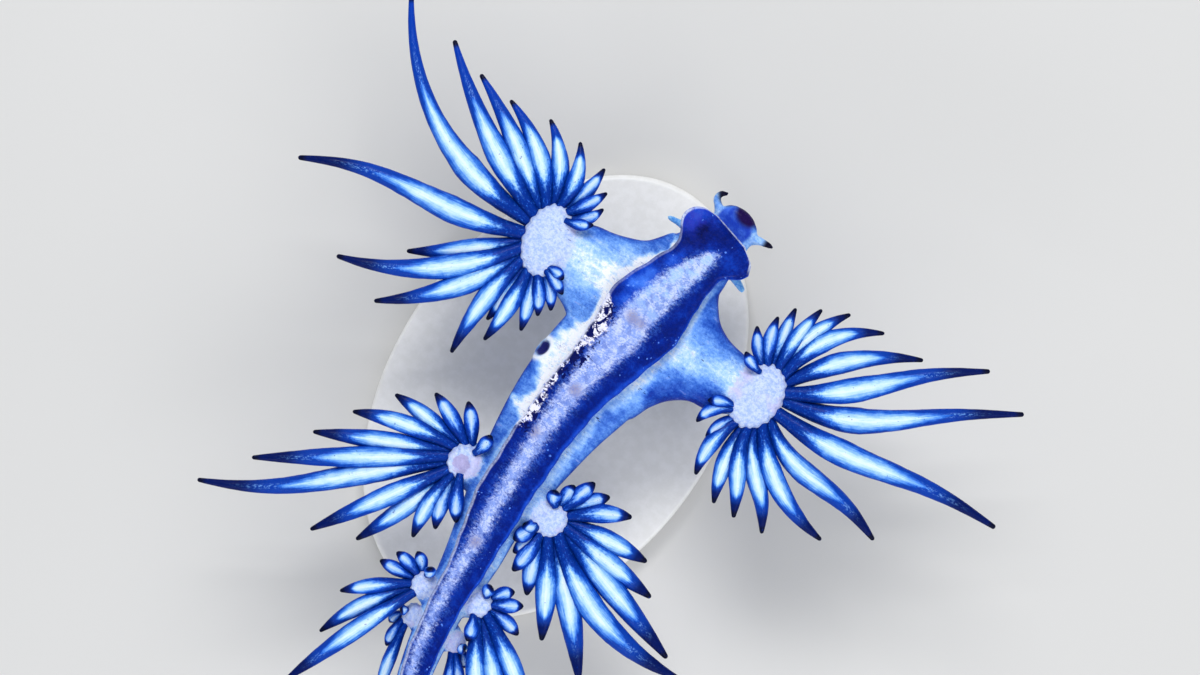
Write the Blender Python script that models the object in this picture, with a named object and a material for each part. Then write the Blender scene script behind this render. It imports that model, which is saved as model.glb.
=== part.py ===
# Blue dragon sea slug, a still life-size model floating belly up on a plain stand.
# Metres, +Z up. +Y runs towards the head, and +X towards the animal's own left side.
# All named sizes are in millimetres, and heights of the animal are from its middle plane.
import math
import random

import bmesh
import bpy
from mathutils import Euler, Vector

MM = 0.001
GAP = 0.3
FAR = 40
UP = Vector((0, 0, 1))
MIDDLE_HEIGHT = 8.6

# The body along its length: y, middle line x, half widths of foot and flanks, flanks' height and depth.
STATIONS = (
    (11.50, 2.70, 1.20, 1.20, 0.30, 0.80),
    (11.30, 2.65, 1.72, 1.30, 0.35, 0.90),
    (10.95, 2.55, 2.08, 1.40, 0.40, 1.00),
    (10.50, 2.42, 2.26, 1.50, 0.42, 1.10),
    (10.00, 2.32, 2.12, 1.60, 0.45, 1.20),
    (9.60, 2.24, 1.75, 1.70, 0.48, 1.26),
    (9.20, 2.16, 1.47, 1.82, 0.52, 1.32),
    (8.60, 2.03, 1.47, 1.95, 0.56, 1.42),
    (7.50, 1.74, 1.72, 2.30, 0.64, 1.62),
    (5.50, 1.42, 2.12, 2.85, 0.74, 1.90),
    (3.50, 1.22, 1.85, 3.00, 0.74, 1.95),
    (1.50, 0.88, 1.58, 2.92, 0.72, 1.86),
    (-1.00, 0.58, 1.42, 2.60, 0.66, 1.70),
    (-4.00, 0.52, 1.34, 2.15, 0.58, 1.48),
    (-6.50, 0.62, 1.30, 1.72, 0.50, 1.32),
    (-9.40, 1.03, 1.00, 1.42, 0.42, 1.15),
    (-12.40, 1.28, 0.82, 1.06, 0.35, 0.95),
    (-15.00, 1.72, 0.75, 0.90, 0.30, 0.80),
    (-18.00, 2.50, 0.55, 0.70, 0.26, 0.62),
    (-21.50, 3.50, 0.32, 0.45, 0.22, 0.45),
    (-24.50, 4.30, 0.15, 0.27, 0.20, 0.30),
    (-26.30, 4.72, 0.05, 0.12, 0.12, 0.14),
)
MIDDLE_X, FOOT_HALF, FLANK_HALF, FLANK_HEIGHT, FLANK_DEPTH = range(1, 6)

# Where the long body is parted, front to back.
NECK_Y = 10.05
WAIST_Y = 1.30
HIP_Y = -8.00
TAIL_Y = -15.60
TAIL_TIP_Y = -26.30
FOOT_FRONT_Y = 11.50
LOBES_Y = 10.30
LOBES_REACH = 0.80

FOOT_THICKNESS = 0.55
LOBES_END_Y = 8.60
BODY_POINTS = 16
BODY_RINGS = 34
TAIL_RINGS = 11
FOOT_POINTS = 12
TAIL_POINTS = 12

# How square a section is: one power for its width, one above and one below. Rounder is nearer to 1.
FLANK_SHAPE = (0.90, 0.80, 1.0)
ARM_SHAPE = (0.85, 1.0, 1.0)
FOOT_SHAPE = (0.70, 0.45, 0.45)
TAIL_SHAPE = (1.0, 0.70, 1.0)
HEAD_SHAPE = (1.0, 0.80, 1.0)
ROUND_SHAPE = (1.0, 1.0, 1.0)

# The front pair of arms: x, front edge y, rear edge y and half thickness, from inside the body outwards.
ARM_RIGHT = (
    (1.20, 9.72, 2.00, 0.70),
    (0.35, 9.72, 2.00, 0.85),
    (-0.10, 9.20, 2.05, 0.92),
    (-0.60, 8.62, 2.10, 0.98),
    (-1.40, 8.25, 2.90, 0.98),
    (-2.20, 8.00, 3.55, 0.90),
    (-3.00, 7.85, 3.88, 0.84),
    (-3.45, 7.75, 3.95, 0.78),
)
ARM_LEFT = (
    (2.20, 9.10, 0.60, 0.80),
    (3.60, 8.80, 0.60, 1.00),
    (4.20, 7.95, 1.75, 1.00),
    (4.80, 7.25, 2.55, 0.98),
    (5.65, 6.80, 3.12, 0.90),
    (6.60, 6.62, 3.25, 0.84),
    (7.05, 6.70, 3.40, 0.78),
)
ARM_HEIGHT = -0.20
SHOULDER_RIGHT_X = -1.75
SHOULDER_LEFT_X = 4.95

# The genital mound low on the animal's right flank.
MOUND_CENTRE = (-1.35, 1.05, -0.15)
MOUND_RADII = (0.80, 1.15, 0.70)
MOUND_TURN = 10

# The head along its own axis: distance ahead of the neck, half width, top and underside.
HEAD_ROWS = (
    (0.00, 1.55, 0.32, 1.15),
    (0.60, 1.42, 0.28, 1.10),
    (1.10, 1.26, 0.24, 1.05),
    (1.45, 1.20, 0.32, 1.00),
    (1.75, 1.16, 0.50, 0.92),
    (2.02, 1.02, 0.58, 0.78),
    (2.24, 0.76, 0.48, 0.58),
    (2.40, 0.42, 0.28, 0.34),
)
HEAD_START = (2.36, 10.20)
HEAD_BEARING = 76
MOUTH_HALF = (0.55, 0.06)
MOUTH_DEPTH = 0.30

# The feelers' paths in the head's own frame: ahead of the neck, to the animal's left, up.
TENTACLE_WIDTHS = (0.62, 0.58, 0.52, 0.24)
RHINOPHORE_WIDTHS = (0.54, 0.56, 0.54, 0.26)
FEELERS = {
    "oral_tentacle_right": (
        TENTACLE_WIDTHS,
        ((1.60, -1.58, 0.0), (1.78, -1.84, 0.12), (2.06, -1.85, 0.18), (2.32, -1.58, 0.16)),
    ),
    "oral_tentacle_left": (
        TENTACLE_WIDTHS,
        ((1.86, 1.53, 0.0), (2.00, 1.68, 0.10), (2.12, 1.88, 0.16), (2.26, 2.06, 0.16)),
    ),
    "rhinophore_right": (
        RHINOPHORE_WIDTHS,
        ((-0.42, -2.00, -0.30), (-0.50, -2.22, -0.28), (-0.58, -2.44, -0.24), (-0.66, -2.66, -0.18)),
    ),
    "rhinophore_left": (
        RHINOPHORE_WIDTHS,
        ((-0.28, 2.14, -0.34), (-0.31, 2.32, -0.32), (-0.34, 2.49, -0.28), (-0.36, 2.66, -0.22)),
    ),
}

# Each fan: its hub, where the palm lies out from the hub, palm half sizes across, along and up, its turn,
# bearings of the first and last root (of both halves where the fan is split), bearing of the split,
# width of a ceras as a least size and its growth with reach, how full the ends are in the front and rear
# half, then (bearing, reach, bow, swerve) of each ceras. Bearings are anticlockwise from +X.
# The bow is how far the middle leans to the left of the way out. The swerve is how far its root half
# does so while its outer half leans the other way. The slope is how much a ceras climbs for its reach.
FANS = {
    "right_front": dict(
        hub=(-4.66, 5.84, 0.0), palm_out=0.0, palm=(1.30, 1.92, 0.92), turn=13,
        roots=(75, 170, 194, 311), split=182, slope=0.0, width=(0.38, 0.115),
        fullness=(-0.15, 0.05),
        cerata=(
            (53, 2.4, -0.1, 0), (64, 3.2, -0.3, 0), (73, 3.8, -0.1, 0), (86, 4.6, -0.2, 0),
            (106, 5.2, -0.45, 0), (123, 6.1, -0.5, 0), (139, 7.3, -0.55, 0), (146, 9.0, -0.25, 0),
            (149, 11.1, 0.45, 0), (153, 14.1, 1.9, 0), (195.5, 13.2, -0.25, 0.3), (218, 7.1, 0.2, 0),
            (218, 10.6, 0.9, 0), (233, 9.2, 0.6, 0), (263, 7.4, -0.3, 0), (266, 5.0, 0.1, 0),
            (271, 5.9, 0.2, 0), (287, 4.7, 0.1, 0), (296, 3.8, 0.1, 0), (306, 3.5, 0.2, 0),
            (319, 2.8, 0.1, 0), (325, 2.1, 0.1, 0),
        ),
    ),
    "left_front": dict(
        hub=(8.33, 5.26, 0.0), palm_out=0.0, palm=(1.30, 1.78, 0.92), turn=0,
        roots=(126, 22, -6, -129), split=10, slope=0.0, width=(0.38, 0.110),
        fullness=(-0.05, 0.3),
        cerata=(
            (139, 2.3, 0.1, 0), (124, 3.5, 0.1, 0), (109, 4.1, 0.2, 0), (100, 4.8, 0.1, 0),
            (87, 5.4, 0.2, 0), (75, 6.2, 0.5, 0), (60, 7.1, 0.9, 0), (46, 8.5, 0.65, 0),
            (40, 11.7, -0.1, -0.2), (30, 13.4, -0.7, -0.3), (5, 13.6, -0.1, -0.25),
            (-17, 9.3, -0.35, -0.3), (-32, 7.9, -0.8, 0), (-54, 6.9, -0.2, -0.2),
            (-67, 6.2, -0.25, -0.1), (-78, 5.8, -0.25, 0), (-94, 5.0, -0.4, 0), (-107, 3.3, -0.1, 0),
            (-123, 3.3, -0.4, 0), (-141, 2.5, -0.1, 0),
        ),
    ),
    "right_middle": dict(
        hub=(-1.99, -5.63, -0.1), palm_out=0.0, palm=(0.85, 0.90, 0.75), turn=10,
        roots=(70, 212, 242, 290), split=229, slope=0.0, width=(0.62, 0.065),
        fullness=(0.5, 0.5),
        cerata=(
            (78, 1.9, -0.1, 0), (120, 3.0, -0.1, 0), (147, 3.7, -0.1, 0), (170, 4.8, -0.1, 0),
            (190, 6.1, -0.3, 0), (203, 7.7, -0.05, 0), (213, 10.6, 0, 0), (218, 13.4, 0.5, -0.2),
            (238, 8.4, 0, 0), (250, 6.7, 0.1, 0), (270, 4.6, -0.25, 0), (281, 3.7, -0.2, 0),
            (297, 3.1, -0.1, 0),
        ),
    ),
    "left_middle": dict(
        hub=(3.19, -5.63, -0.1), palm_out=0.0, palm=(0.90, 0.95, 0.75), turn=0,
        roots=(100, -22, -52, -130), split=-38, slope=0.0, width=(0.66, 0.090),
        fullness=(0.5, 0.5),
        cerata=(
            (112, 1.5, 0.1, 0), (88, 2.1, 0, 0), (73, 2.9, 0, 0), (54, 3.2, 0.1, 0), (35, 4.1, 0.2, 0),
            (10, 5.3, 0.1, 0), (-4, 6.4, 0, 0), (-16, 9.1, 0.05, 0), (-17, 10.3, -1.15, 0),
            (-46, 8.3, 0.2, 0), (-60, 6.1, 0.1, 0), (-73, 4.0, -0.1, 0), (-92, 3.2, 0.1, 0),
            (-104, 2.5, 0.1, 0), (-117, 2.1, 0, 0), (-139, 1.3, 0.2, 0),
        ),
    ),
    "right_rear": dict(
        hub=(0.18, -11.88, 0.02), palm_out=-0.40, palm=(0.62, 0.72, 0.62), turn=0,
        roots=(110, 250), split=None, slope=0.06, width=(0.56, 0.060),
        fullness=(0.5, 0.5),
        cerata=(
            (123, 1.1, -0.1, 0), (143, 2.0, -0.1, 0), (166, 2.5, -0.1, 0), (184, 2.9, 0, 0),
            (215, 4.5, -0.1, 0), (235, 5.9, -0.3, 0), (246, 8.5, -0.1, 0),
        ),
    ),
    "left_rear": dict(
        hub=(2.33, -11.15, 0.02), palm_out=0.30, palm=(0.65, 0.75, 0.62), turn=0,
        roots=(75, -85), split=None, slope=0.05, width=(0.58, 0.088),
        fullness=(0.5, 0.5),
        cerata=(
            (72, 1.2, 0.1, 0), (46, 2.1, 0.1, 0), (28, 2.5, 0, 0), (-4, 2.8, 0.1, 0),
            (-31, 6.6, 0.2, 0), (-43, 6.9, 0, 0), (-54, 6.1, -0.1, 0), (-66, 2.0, 0.1, 0),
        ),
    ),
    "right_tail": dict(
        hub=(0.42, -13.48, -0.60), palm_out=-0.26, palm=(0.50, 0.60, 0.52), turn=0,
        roots=(165, 262), split=None, slope=-0.09, width=(0.52, 0.044),
        fullness=(0.5, 0.5),
        cerata=((188, 0.9, 0, 0), (225, 1.4, -0.1, 0), (257, 2.1, -0.1, 0), (277, 4.4, -0.1, 0)),
    ),
    "left_tail": dict(
        hub=(2.22, -13.40, -0.62), palm_out=0.52, palm=(0.50, 0.60, 0.52), turn=0,
        roots=(10, -85), split=None, slope=-0.09, width=(0.54, 0.055),
        fullness=(0.5, 0.5),
        cerata=((0, 1.1, -0.1, 0), (-30, 1.8, 0.1, 0), (-44, 2.9, 0, 0), (-60, 3.7, 0.1, 0)),
    ),
}
ROOT_DEPTH = 0.74
ROOT_SHARE = 0.5
TIP_SHARE = 0.17
# A ceras widens less the further it reaches: not at all by this reach.
SLIMMING = 40
# Where the belly lies along a ceras, and how much nearer the root for each millimetre of reach.
BELLY = (0.62, 0.021)
# The power of the outward taper, from the belly's place.
TAPER = (3.0, -0.1)
THICKNESS_SHARE = 0.78
LEAST_THICKNESS = 0.46
TIER = 0.10
END_RISE = 0.60
END_REACH = 2.2
SWAY = 0.035
ARCH = 0.02
TIP_WIDTH = 0.14
# Rings along a ceras and points round it, for those that reach further than so many millimetres.
CERAS_DETAIL = ((8, 8, 8), (4, 7, 6), (0, 6, 6))
FEELER_SIDES = 8

BASE_HALF = (8.5, 12.5)
BASE_THICKNESS = 1.6
BASE_CENTRE_Y = -0.5
ROD_RADIUS = 0.75
ROD_FRONT_Y = 4.5
ROD_REAR_Y = -6.5

COLOURS = {
    "flank_skin": (0.26, 0.48, 0.86),
    "foot_sole": (0.03, 0.09, 0.42),
    "ceras_skin": (0.16, 0.36, 0.80),
    "stand_base": (0.86, 0.87, 0.88),
    "stand_rod": (0.70, 0.72, 0.74),
}


def clear_scene():
    for old in list(bpy.data.objects):
        bpy.data.objects.remove(old, do_unlink=True)


def material(name):
    """The finish of one kind of surface, made once."""
    found = bpy.data.materials.get(name)
    if found:
        return found
    made = bpy.data.materials.new(name)
    made.use_nodes = True
    shader = made.node_tree.nodes["Principled BSDF"]
    shader.inputs["Base Color"].default_value = (*COLOURS[name], 1)
    shader.inputs["Roughness"].default_value = 0.35
    shader.inputs["Metallic"].default_value = 0.0
    return made


def station(column, y):
    """One column of STATIONS at this y, smooth between the rows."""
    rows = STATIONS
    y = min(max(y, rows[-1][0]), rows[0][0])
    i = next(k for k in range(len(rows) - 1) if y >= rows[k + 1][0])

    def slope(k):
        before, after = max(k - 1, 0), min(k + 1, len(rows) - 1)
        return (rows[after][column] - rows[before][column]) / (rows[after][0] - rows[before][0])

    span = rows[i + 1][0] - rows[i][0]
    t = (y - rows[i][0]) / span
    return (
        (2 * t**3 - 3 * t**2 + 1) * rows[i][column]
        + (t**3 - 2 * t**2 + t) * span * slope(i)
        + (3 * t**2 - 2 * t**3) * rows[i + 1][column]
        + (t**3 - t**2) * span * slope(i + 1)
    )


def across_at(y):
    """The unit vector across the body at this y, square to its middle line."""
    step = 0.05
    run = Vector((station(MIDDLE_X, y + step) - station(MIDDLE_X, y - step), 2 * step, 0))
    return Vector((run.y, -run.x, 0)).normalized()


def level(bearing):
    """The level unit vector along a bearing in degrees, anticlockwise from +X."""
    turn = math.radians(bearing)
    return Vector((math.cos(turn), math.sin(turn), 0))


def between(first, last, count):
    return [first + (last - first) * k / (count - 1) for k in range(count)]


def power(value, exponent):
    return math.copysign(abs(value) ** exponent, value)


def section(centre, across, up, sizes, points, shape=ROUND_SHAPE, start=0.0):
    """A ring round a centre. The sizes are its half width, height above and depth below."""
    ring = []
    for k in range(points):
        turn = 2 * math.pi * (k + start) / points
        rise = math.sin(turn)
        part = 1 if rise >= 0 else 2
        side = across * sizes[0] * power(math.cos(turn), shape[0])
        ring.append(centre + side + up * sizes[part] * power(rise, shape[part]))
    return ring


def loft(name, rings):
    """A closed mesh through rings of points in millimetres, with flat ends."""
    mesh = bpy.data.meshes.new(name)
    shape = bmesh.new()
    loops = [[shape.verts.new(point * MM) for point in ring] for ring in rings]
    for one, other in zip(loops, loops[1:]):
        for k in range(len(one)):
            after = (k + 1) % len(one)
            shape.faces.new((one[k], one[after], other[after], other[k]))
    shape.faces.new(loops[0])
    shape.faces.new(loops[-1])
    bmesh.ops.recalc_face_normals(shape, faces=shape.faces)
    shape.to_mesh(mesh)
    shape.free()
    return bpy.data.objects.new(name, mesh)


def ellipsoid(name, centre, radii, turn=0.0):
    mesh = bpy.data.meshes.new(name)
    shape = bmesh.new()
    bmesh.ops.create_uvsphere(shape, u_segments=20, v_segments=10, radius=MM)
    made = bpy.data.objects.new(name, mesh)
    for vert in shape.verts:
        point = Vector((vert.co.x * radii[0], vert.co.y * radii[1], vert.co.z * radii[2]))
        point.rotate(Euler((0, 0, math.radians(turn))))
        vert.co = point + Vector(centre) * MM
    shape.to_mesh(mesh)
    shape.free()
    return made


def block(name, low, high):
    """A box between two corners in millimetres."""
    mesh = bpy.data.meshes.new(name)
    shape = bmesh.new()
    bmesh.ops.create_cube(shape, size=1)
    for vert in shape.verts:
        vert.co = Vector([(lo if c < 0 else hi) * MM for c, lo, hi in zip(vert.co, low, high)])
    shape.to_mesh(mesh)
    shape.free()
    return bpy.data.objects.new(name, mesh)


def combined(target, others, operation, solver="EXACT"):
    """target joined with, cut by or kept inside the others, which are then removed."""
    scene = bpy.context.scene
    group = bpy.data.collections.new("pieces")
    scene.collection.children.link(group)
    for other in others:
        group.objects.link(other)
    if not target.users_collection:
        scene.collection.objects.link(target)
    step = target.modifiers.new("combine", "BOOLEAN")
    step.operation = operation
    step.operand_type = "COLLECTION"
    step.collection = group
    step.solver = solver
    graph = bpy.context.evaluated_depsgraph_get()
    mesh = bpy.data.meshes.new_from_object(target.evaluated_get(graph))
    target.modifiers.clear()
    target.data = mesh
    for other in list(group.objects):
        bpy.data.objects.remove(other, do_unlink=True)
    bpy.data.collections.remove(group)
    return target


def keep_largest(target):
    """Drops every loose surface but the largest, so that the node is one closed body."""
    shape = bmesh.new()
    shape.from_mesh(target.data)
    left = set(shape.verts)
    shells = []
    while left:
        shell, edge = [], [left.pop()]
        while edge:
            vert = edge.pop()
            shell.append(vert)
            near = {link.other_vert(vert) for link in vert.link_edges} & left
            left -= near
            edge.extend(near)
        shells.append(shell)

    def reach(shell):
        return max((vert.co - shell[0].co).length for vert in shell)

    for shell in sorted(shells, key=reach)[:-1]:
        bmesh.ops.delete(shape, geom=shell, context="VERTS")
    shape.to_mesh(target.data)
    shape.free()
    return target


def finished(target, name, finish, collection):
    """Names the node, gives it its finish and shades it smooth."""
    target.name = name
    target.data.name = name
    target.data.materials.clear()
    target.data.materials.append(material(finish))
    target.data.polygons.foreach_set("use_smooth", [True] * len(target.data.polygons))
    target.data.set_sharp_from_angle(angle=math.radians(50))
    for old in list(target.users_collection):
        old.objects.unlink(target)
    collection.objects.link(target)


def copy_of(source):
    return bpy.data.objects.new(source.name, source.data.copy())


def middle(y, height=0.0):
    """A point over the middle line at this y."""
    return Vector((station(MIDDLE_X, y), y, MIDDLE_HEIGHT + height))


def body_ring(y, grow=0.0):
    """The flanks' section at this y: flat on top under the foot, round below."""
    sizes = [station(column, y) + grow for column in (FLANK_HALF, FLANK_HEIGHT, FLANK_DEPTH)]
    return section(middle(y), across_at(y), UP, sizes, BODY_POINTS, FLANK_SHAPE)


def flanks(grow=0.0):
    ys = between(NECK_Y - GAP, TAIL_Y + GAP, BODY_RINGS)
    return loft("flanks", [body_ring(y, grow) for y in ys])


def arm(name, rows, grow=0.0):
    """One front arm, broad and webbed at the shoulder."""
    rings = []
    outward = math.copysign(grow, rows[-1][0] - rows[0][0])
    for row in rows:
        x, front, rear, half_height = row
        centre = Vector((x, (front + rear) / 2, MIDDLE_HEIGHT + ARM_HEIGHT))
        if row is rows[-1]:
            centre.x += outward
        sizes = [(front - rear) / 2 + grow, half_height + grow, half_height + grow]
        rings.append(section(centre, Vector((0, 1, 0)), UP, sizes, BODY_POINTS, ARM_SHAPE))
    return loft(name, rings)


def tail(grow=0.0):
    """The thin tail behind the last cerata, foot and flanks in one."""
    rings = []
    for y in between(TAIL_Y - GAP / 2 + grow, TAIL_TIP_Y, TAIL_RINGS):
        sizes = [station(column, y) + grow for column in (FLANK_HALF, FLANK_HEIGHT, FLANK_DEPTH)]
        share = min((y - TAIL_TIP_Y) / (TAIL_Y - TAIL_TIP_Y), 1)
        sizes[1] += (GAP + FOOT_THICKNESS) * share**0.7
        rings.append(section(middle(y), across_at(y), UP, sizes, TAIL_POINTS, TAIL_SHAPE))
    return loft("tail", rings)


def make_torso(nodes):
    """The flanks and arms as one form, parted into lengths by thin cuts."""
    mound_centre = Vector(MOUND_CENTRE) + UP * MIDDLE_HEIGHT
    pieces = [
        arm("arm_right", ARM_RIGHT),
        arm("arm_left", ARM_LEFT),
        ellipsoid("mound", mound_centre, MOUND_RADII, MOUND_TURN),
    ]
    whole = combined(flanks(), pieces, "UNION")
    half = GAP / 2
    regions = {
        "torso_front": ((SHOULDER_RIGHT_X + half, WAIST_Y + half), (SHOULDER_LEFT_X - half, NECK_Y)),
        "torso_middle": ((-FAR, HIP_Y + half), (FAR, WAIST_Y - half)),
        "torso_rear": ((-FAR, -FAR), (FAR, HIP_Y - half)),
        "arm_right": ((-FAR, WAIST_Y + half), (SHOULDER_RIGHT_X - half, FAR)),
        "arm_left": ((SHOULDER_LEFT_X + half, WAIST_Y + half), (FAR, FAR)),
    }
    for name, (low, high) in regions.items():
        region = block("region", (*low, -FAR), (*high, FAR))
        node = keep_largest(combined(copy_of(whole), [region], "INTERSECT"))
        finished(node, name, "flank_skin", nodes)
    bpy.data.objects.remove(whole, do_unlink=True)


def foot_ring(y):
    """The sole's section at this y: a thin pad with rounded edges. The two lobes in front are drawn in."""
    half_thickness = FOOT_THICKNESS / 2
    sizes = (station(FOOT_HALF, y), half_thickness, half_thickness)
    y = min(y, LOBES_Y + (y - LOBES_Y) * LOBES_REACH)
    centre = middle(y, station(FLANK_HEIGHT, y) + GAP + half_thickness)
    return section(centre, across_at(y), UP, sizes, FOOT_POINTS, FOOT_SHAPE, start=0.5)


def make_foot(nodes):
    """The creeping sole, which faces up: bilobed in front, then a long band."""
    lobes = between(FOOT_FRONT_Y, LOBES_END_Y, 12)
    lengths = {
        "foot_front": lobes + between(LOBES_END_Y, WAIST_Y + GAP / 2, 8)[1:],
        "foot_middle": between(WAIST_Y - GAP / 2, HIP_Y + GAP / 2, 9),
        "foot_rear": between(HIP_Y - GAP / 2, TAIL_Y + GAP / 2, 8),
    }
    for name, ys in lengths.items():
        finished(loft(name, [foot_ring(y) for y in ys]), name, "foot_sole", nodes)


def head_point(ahead, side, height):
    """A point of the head's own frame, in millimetres: ahead of the neck, to the animal's left, up."""
    start = Vector((*HEAD_START, MIDDLE_HEIGHT + height))
    return start + level(HEAD_BEARING) * ahead + level(HEAD_BEARING - 90) * side


def make_head(nodes):
    """The snout, with a shallow slit for the mouth across its front."""
    rings = []
    for ahead, *sizes in HEAD_ROWS:
        centre = head_point(ahead, 0, 0)
        rings.append(section(centre, level(HEAD_BEARING - 90), UP, sizes, BODY_POINTS, HEAD_SHAPE))
    front = HEAD_ROWS[-1][0]
    wide, high = MOUTH_HALF
    corners = ((-wide, -high), (wide, -high), (wide, high), (-wide, high))
    depths = (front - MOUTH_DEPTH, front + MOUTH_DEPTH)
    slit = loft("mouth", [[head_point(ahead, x, z) for x, z in corners] for ahead in depths])
    head = keep_largest(combined(loft("head", rings), [slit], "DIFFERENCE"))
    finished(head, "head", "flank_skin", nodes)


def tapered(name, path, widths, sides, flat=1.0):
    """A soft finger through points of a path, as wide as its widths say, with a blunt tip."""
    rings = []
    for k, (point, width) in enumerate(zip(path, widths)):
        run = path[min(k + 1, len(path) - 1)] - path[max(k - 1, 0)]
        side = run.cross(UP).normalized()
        half_height = max(width * flat, min(width, LEAST_THICKNESS)) / 2
        sizes = (width / 2, half_height, half_height)
        rings.append(section(point, side, side.cross(run).normalized(), sizes, sides))
    return loft(name, rings)


def make_feelers(nodes):
    """Two hooked oral tentacles at the corners of the snout, and two rhinophores behind them."""
    for name, (widths, places) in FEELERS.items():
        path = [head_point(*place) for place in places]
        finished(tapered(name, path, widths, FEELER_SIDES), name, "flank_skin", nodes)


def ceras_width(share, reach, fullness):
    """Width along a ceras as a share of its greatest: narrow root, full belly, then a taper.
    A long ceras has its belly nearer to the root and a thinner end."""
    belly = BELLY[0] - BELLY[1] * reach
    if share < belly:
        rise = share / belly
        return ROOT_SHARE + (1 - ROOT_SHARE) * rise * rise * (3 - 2 * rise)
    fall = (share - belly) / (1 - belly)
    taper = TAPER[0] * belly + TAPER[1] + fullness
    return TIP_SHARE + (1 - TIP_SHARE) * (1 - fall**taper)


def hub_of(fan):
    return Vector(fan["hub"]) + UP * MIDDLE_HEIGHT


def palm_centre(fan):
    return hub_of(fan) + Vector((fan["palm_out"], 0, 0))


def root_place(fan, bearing):
    """Where a ceras of this bearing is rooted, well inside the palm's oval."""
    angle = math.radians(bearing - fan["turn"])
    across = ROOT_DEPTH * fan["palm"][0] * math.cos(angle)
    along = ROOT_DEPTH * fan["palm"][1] * math.sin(angle)
    return palm_centre(fan) + level(fan["turn"]) * across + level(fan["turn"] + 90) * along


def is_fore(fan):
    """For each ceras, whether it belongs to the front half of a split fan."""
    if fan["split"] is None:
        return [True] * len(fan["cerata"])
    turning = 1 if fan["roots"][-1] > fan["roots"][0] else -1
    return [turning * (row[0] - fan["split"]) < 0 for row in fan["cerata"]]


def root_bearings(fan):
    """Where around the palm each ceras is rooted, evenly spaced within each half of the fan."""
    count = len(fan["cerata"])
    if fan["split"] is None:
        return between(*fan["roots"], count)
    ahead = sum(is_fore(fan))
    return between(*fan["roots"][:2], ahead) + between(*fan["roots"][2:], count - ahead)


def ceras(fan, place, draw):
    """One finger of a fan. Those at the fan's two ends rise over the arm or flank."""
    bearing, reach, bow, swerve = fan["cerata"][place]
    end = abs(2 * place / (len(fan["cerata"]) - 1) - 1) ** 4 * min(END_REACH / reach, 1)
    rise = END_RISE * fan["palm"][2] * end
    lift = UP * (rise + TIER * (-1) ** place)
    climb = rise + (fan["slope"] + draw.uniform(-SWAY, SWAY)) * reach
    root = root_place(fan, root_bearings(fan)[place]) + lift
    tip = hub_of(fan) + level(bearing) * reach + lift + UP * climb
    left = UP.cross(tip - root).normalized()
    steps, sides = next(detail for least, *detail in CERAS_DETAIL if reach > least)
    least, growth = fan["width"]
    greatest = least + growth * reach * (1 - reach / SLIMMING)
    fullness = fan["fullness"][0 if is_fore(fan)[place] else 1]
    path, widths = [], []
    for t in between(0, 1, steps):
        arc = 4 * t * (1 - t)
        aside = left * (bow * arc + swerve * math.sin(2 * math.pi * t))
        path.append(root.lerp(tip, t) + aside + UP * ARCH * reach * arc)
        widths.append(max(greatest * ceras_width(t, reach, fullness), TIP_WIDTH))
    return tapered("ceras", path, widths, sides, THICKNESS_SHARE)


def half_space(hub, bearing, side):
    """A large box on one side of the upright plane through the hub along this bearing."""
    along = level(bearing) * FAR
    out = level(bearing + 90) * side
    corners = []
    for far in (-GAP / 2, FAR):
        ring = [(-1, -1), (1, -1), (1, 1), (-1, 1)]
        corners.append([hub + out * far + along * a + UP * FAR * b for a, b in ring])
    return loft("other_half", corners)


def clearance():
    """The flanks, arms and tail made thicker by the gap, for cutting the fans clear of them."""
    pieces = [arm("right", ARM_RIGHT, GAP), arm("left", ARM_LEFT, GAP), tail(GAP)]
    return combined(flanks(GAP), pieces, "UNION")


def make_fans(nodes):
    """The fans of cerata, each ceras rooted in its palm. A wide fan is parted at its widest gap."""
    draw = random.Random(7)
    clear = clearance()
    for side, fan in FANS.items():
        hub = hub_of(fan)
        fingers = [ceras(fan, place, draw) for place in range(len(fan["cerata"]))]
        turning = 1 if fan["roots"][-1] > fan["roots"][0] else -1
        if fan["split"] is None:
            halves = {f"cerata_{side}": (fingers, [])}
        else:
            fore = is_fore(fan)
            halves = {
                f"cerata_{side}_fore": (
                    [f for f, ahead in zip(fingers, fore) if ahead],
                    [half_space(hub, fan["split"], turning)],
                ),
                f"cerata_{side}_aft": (
                    [f for f, ahead in zip(fingers, fore) if not ahead],
                    [half_space(hub, fan["split"], -turning)],
                ),
            }
        for name, (chosen, cutters) in halves.items():
            dome = ellipsoid("palm", palm_centre(fan), fan["palm"], fan["turn"])
            # EXACT leaves some of these crowded roots touching one another along an edge.
            whole = combined(dome, chosen, "UNION", "MANIFOLD")
            whole = combined(whole, [*cutters, copy_of(clear)], "DIFFERENCE", "MANIFOLD")
            finished(keep_largest(whole), name, "ceras_skin", nodes)
    bpy.data.objects.remove(clear, do_unlink=True)


def cylinder(name, centre, radii, height, points):
    """An upright cylinder, round or oval, standing on its centre's height."""
    mesh = bpy.data.meshes.new(name)
    shape = bmesh.new()
    bmesh.ops.create_cone(shape, cap_ends=True, segments=points, radius1=1, radius2=1, depth=1)
    for vert in shape.verts:
        x, y, z = vert.co
        vert.co = (Vector(centre) + Vector((x * radii[0], y * radii[1], (z + 0.5) * height))) * MM
    shape.to_mesh(mesh)
    shape.free()
    return bpy.data.objects.new(name, mesh)


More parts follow.
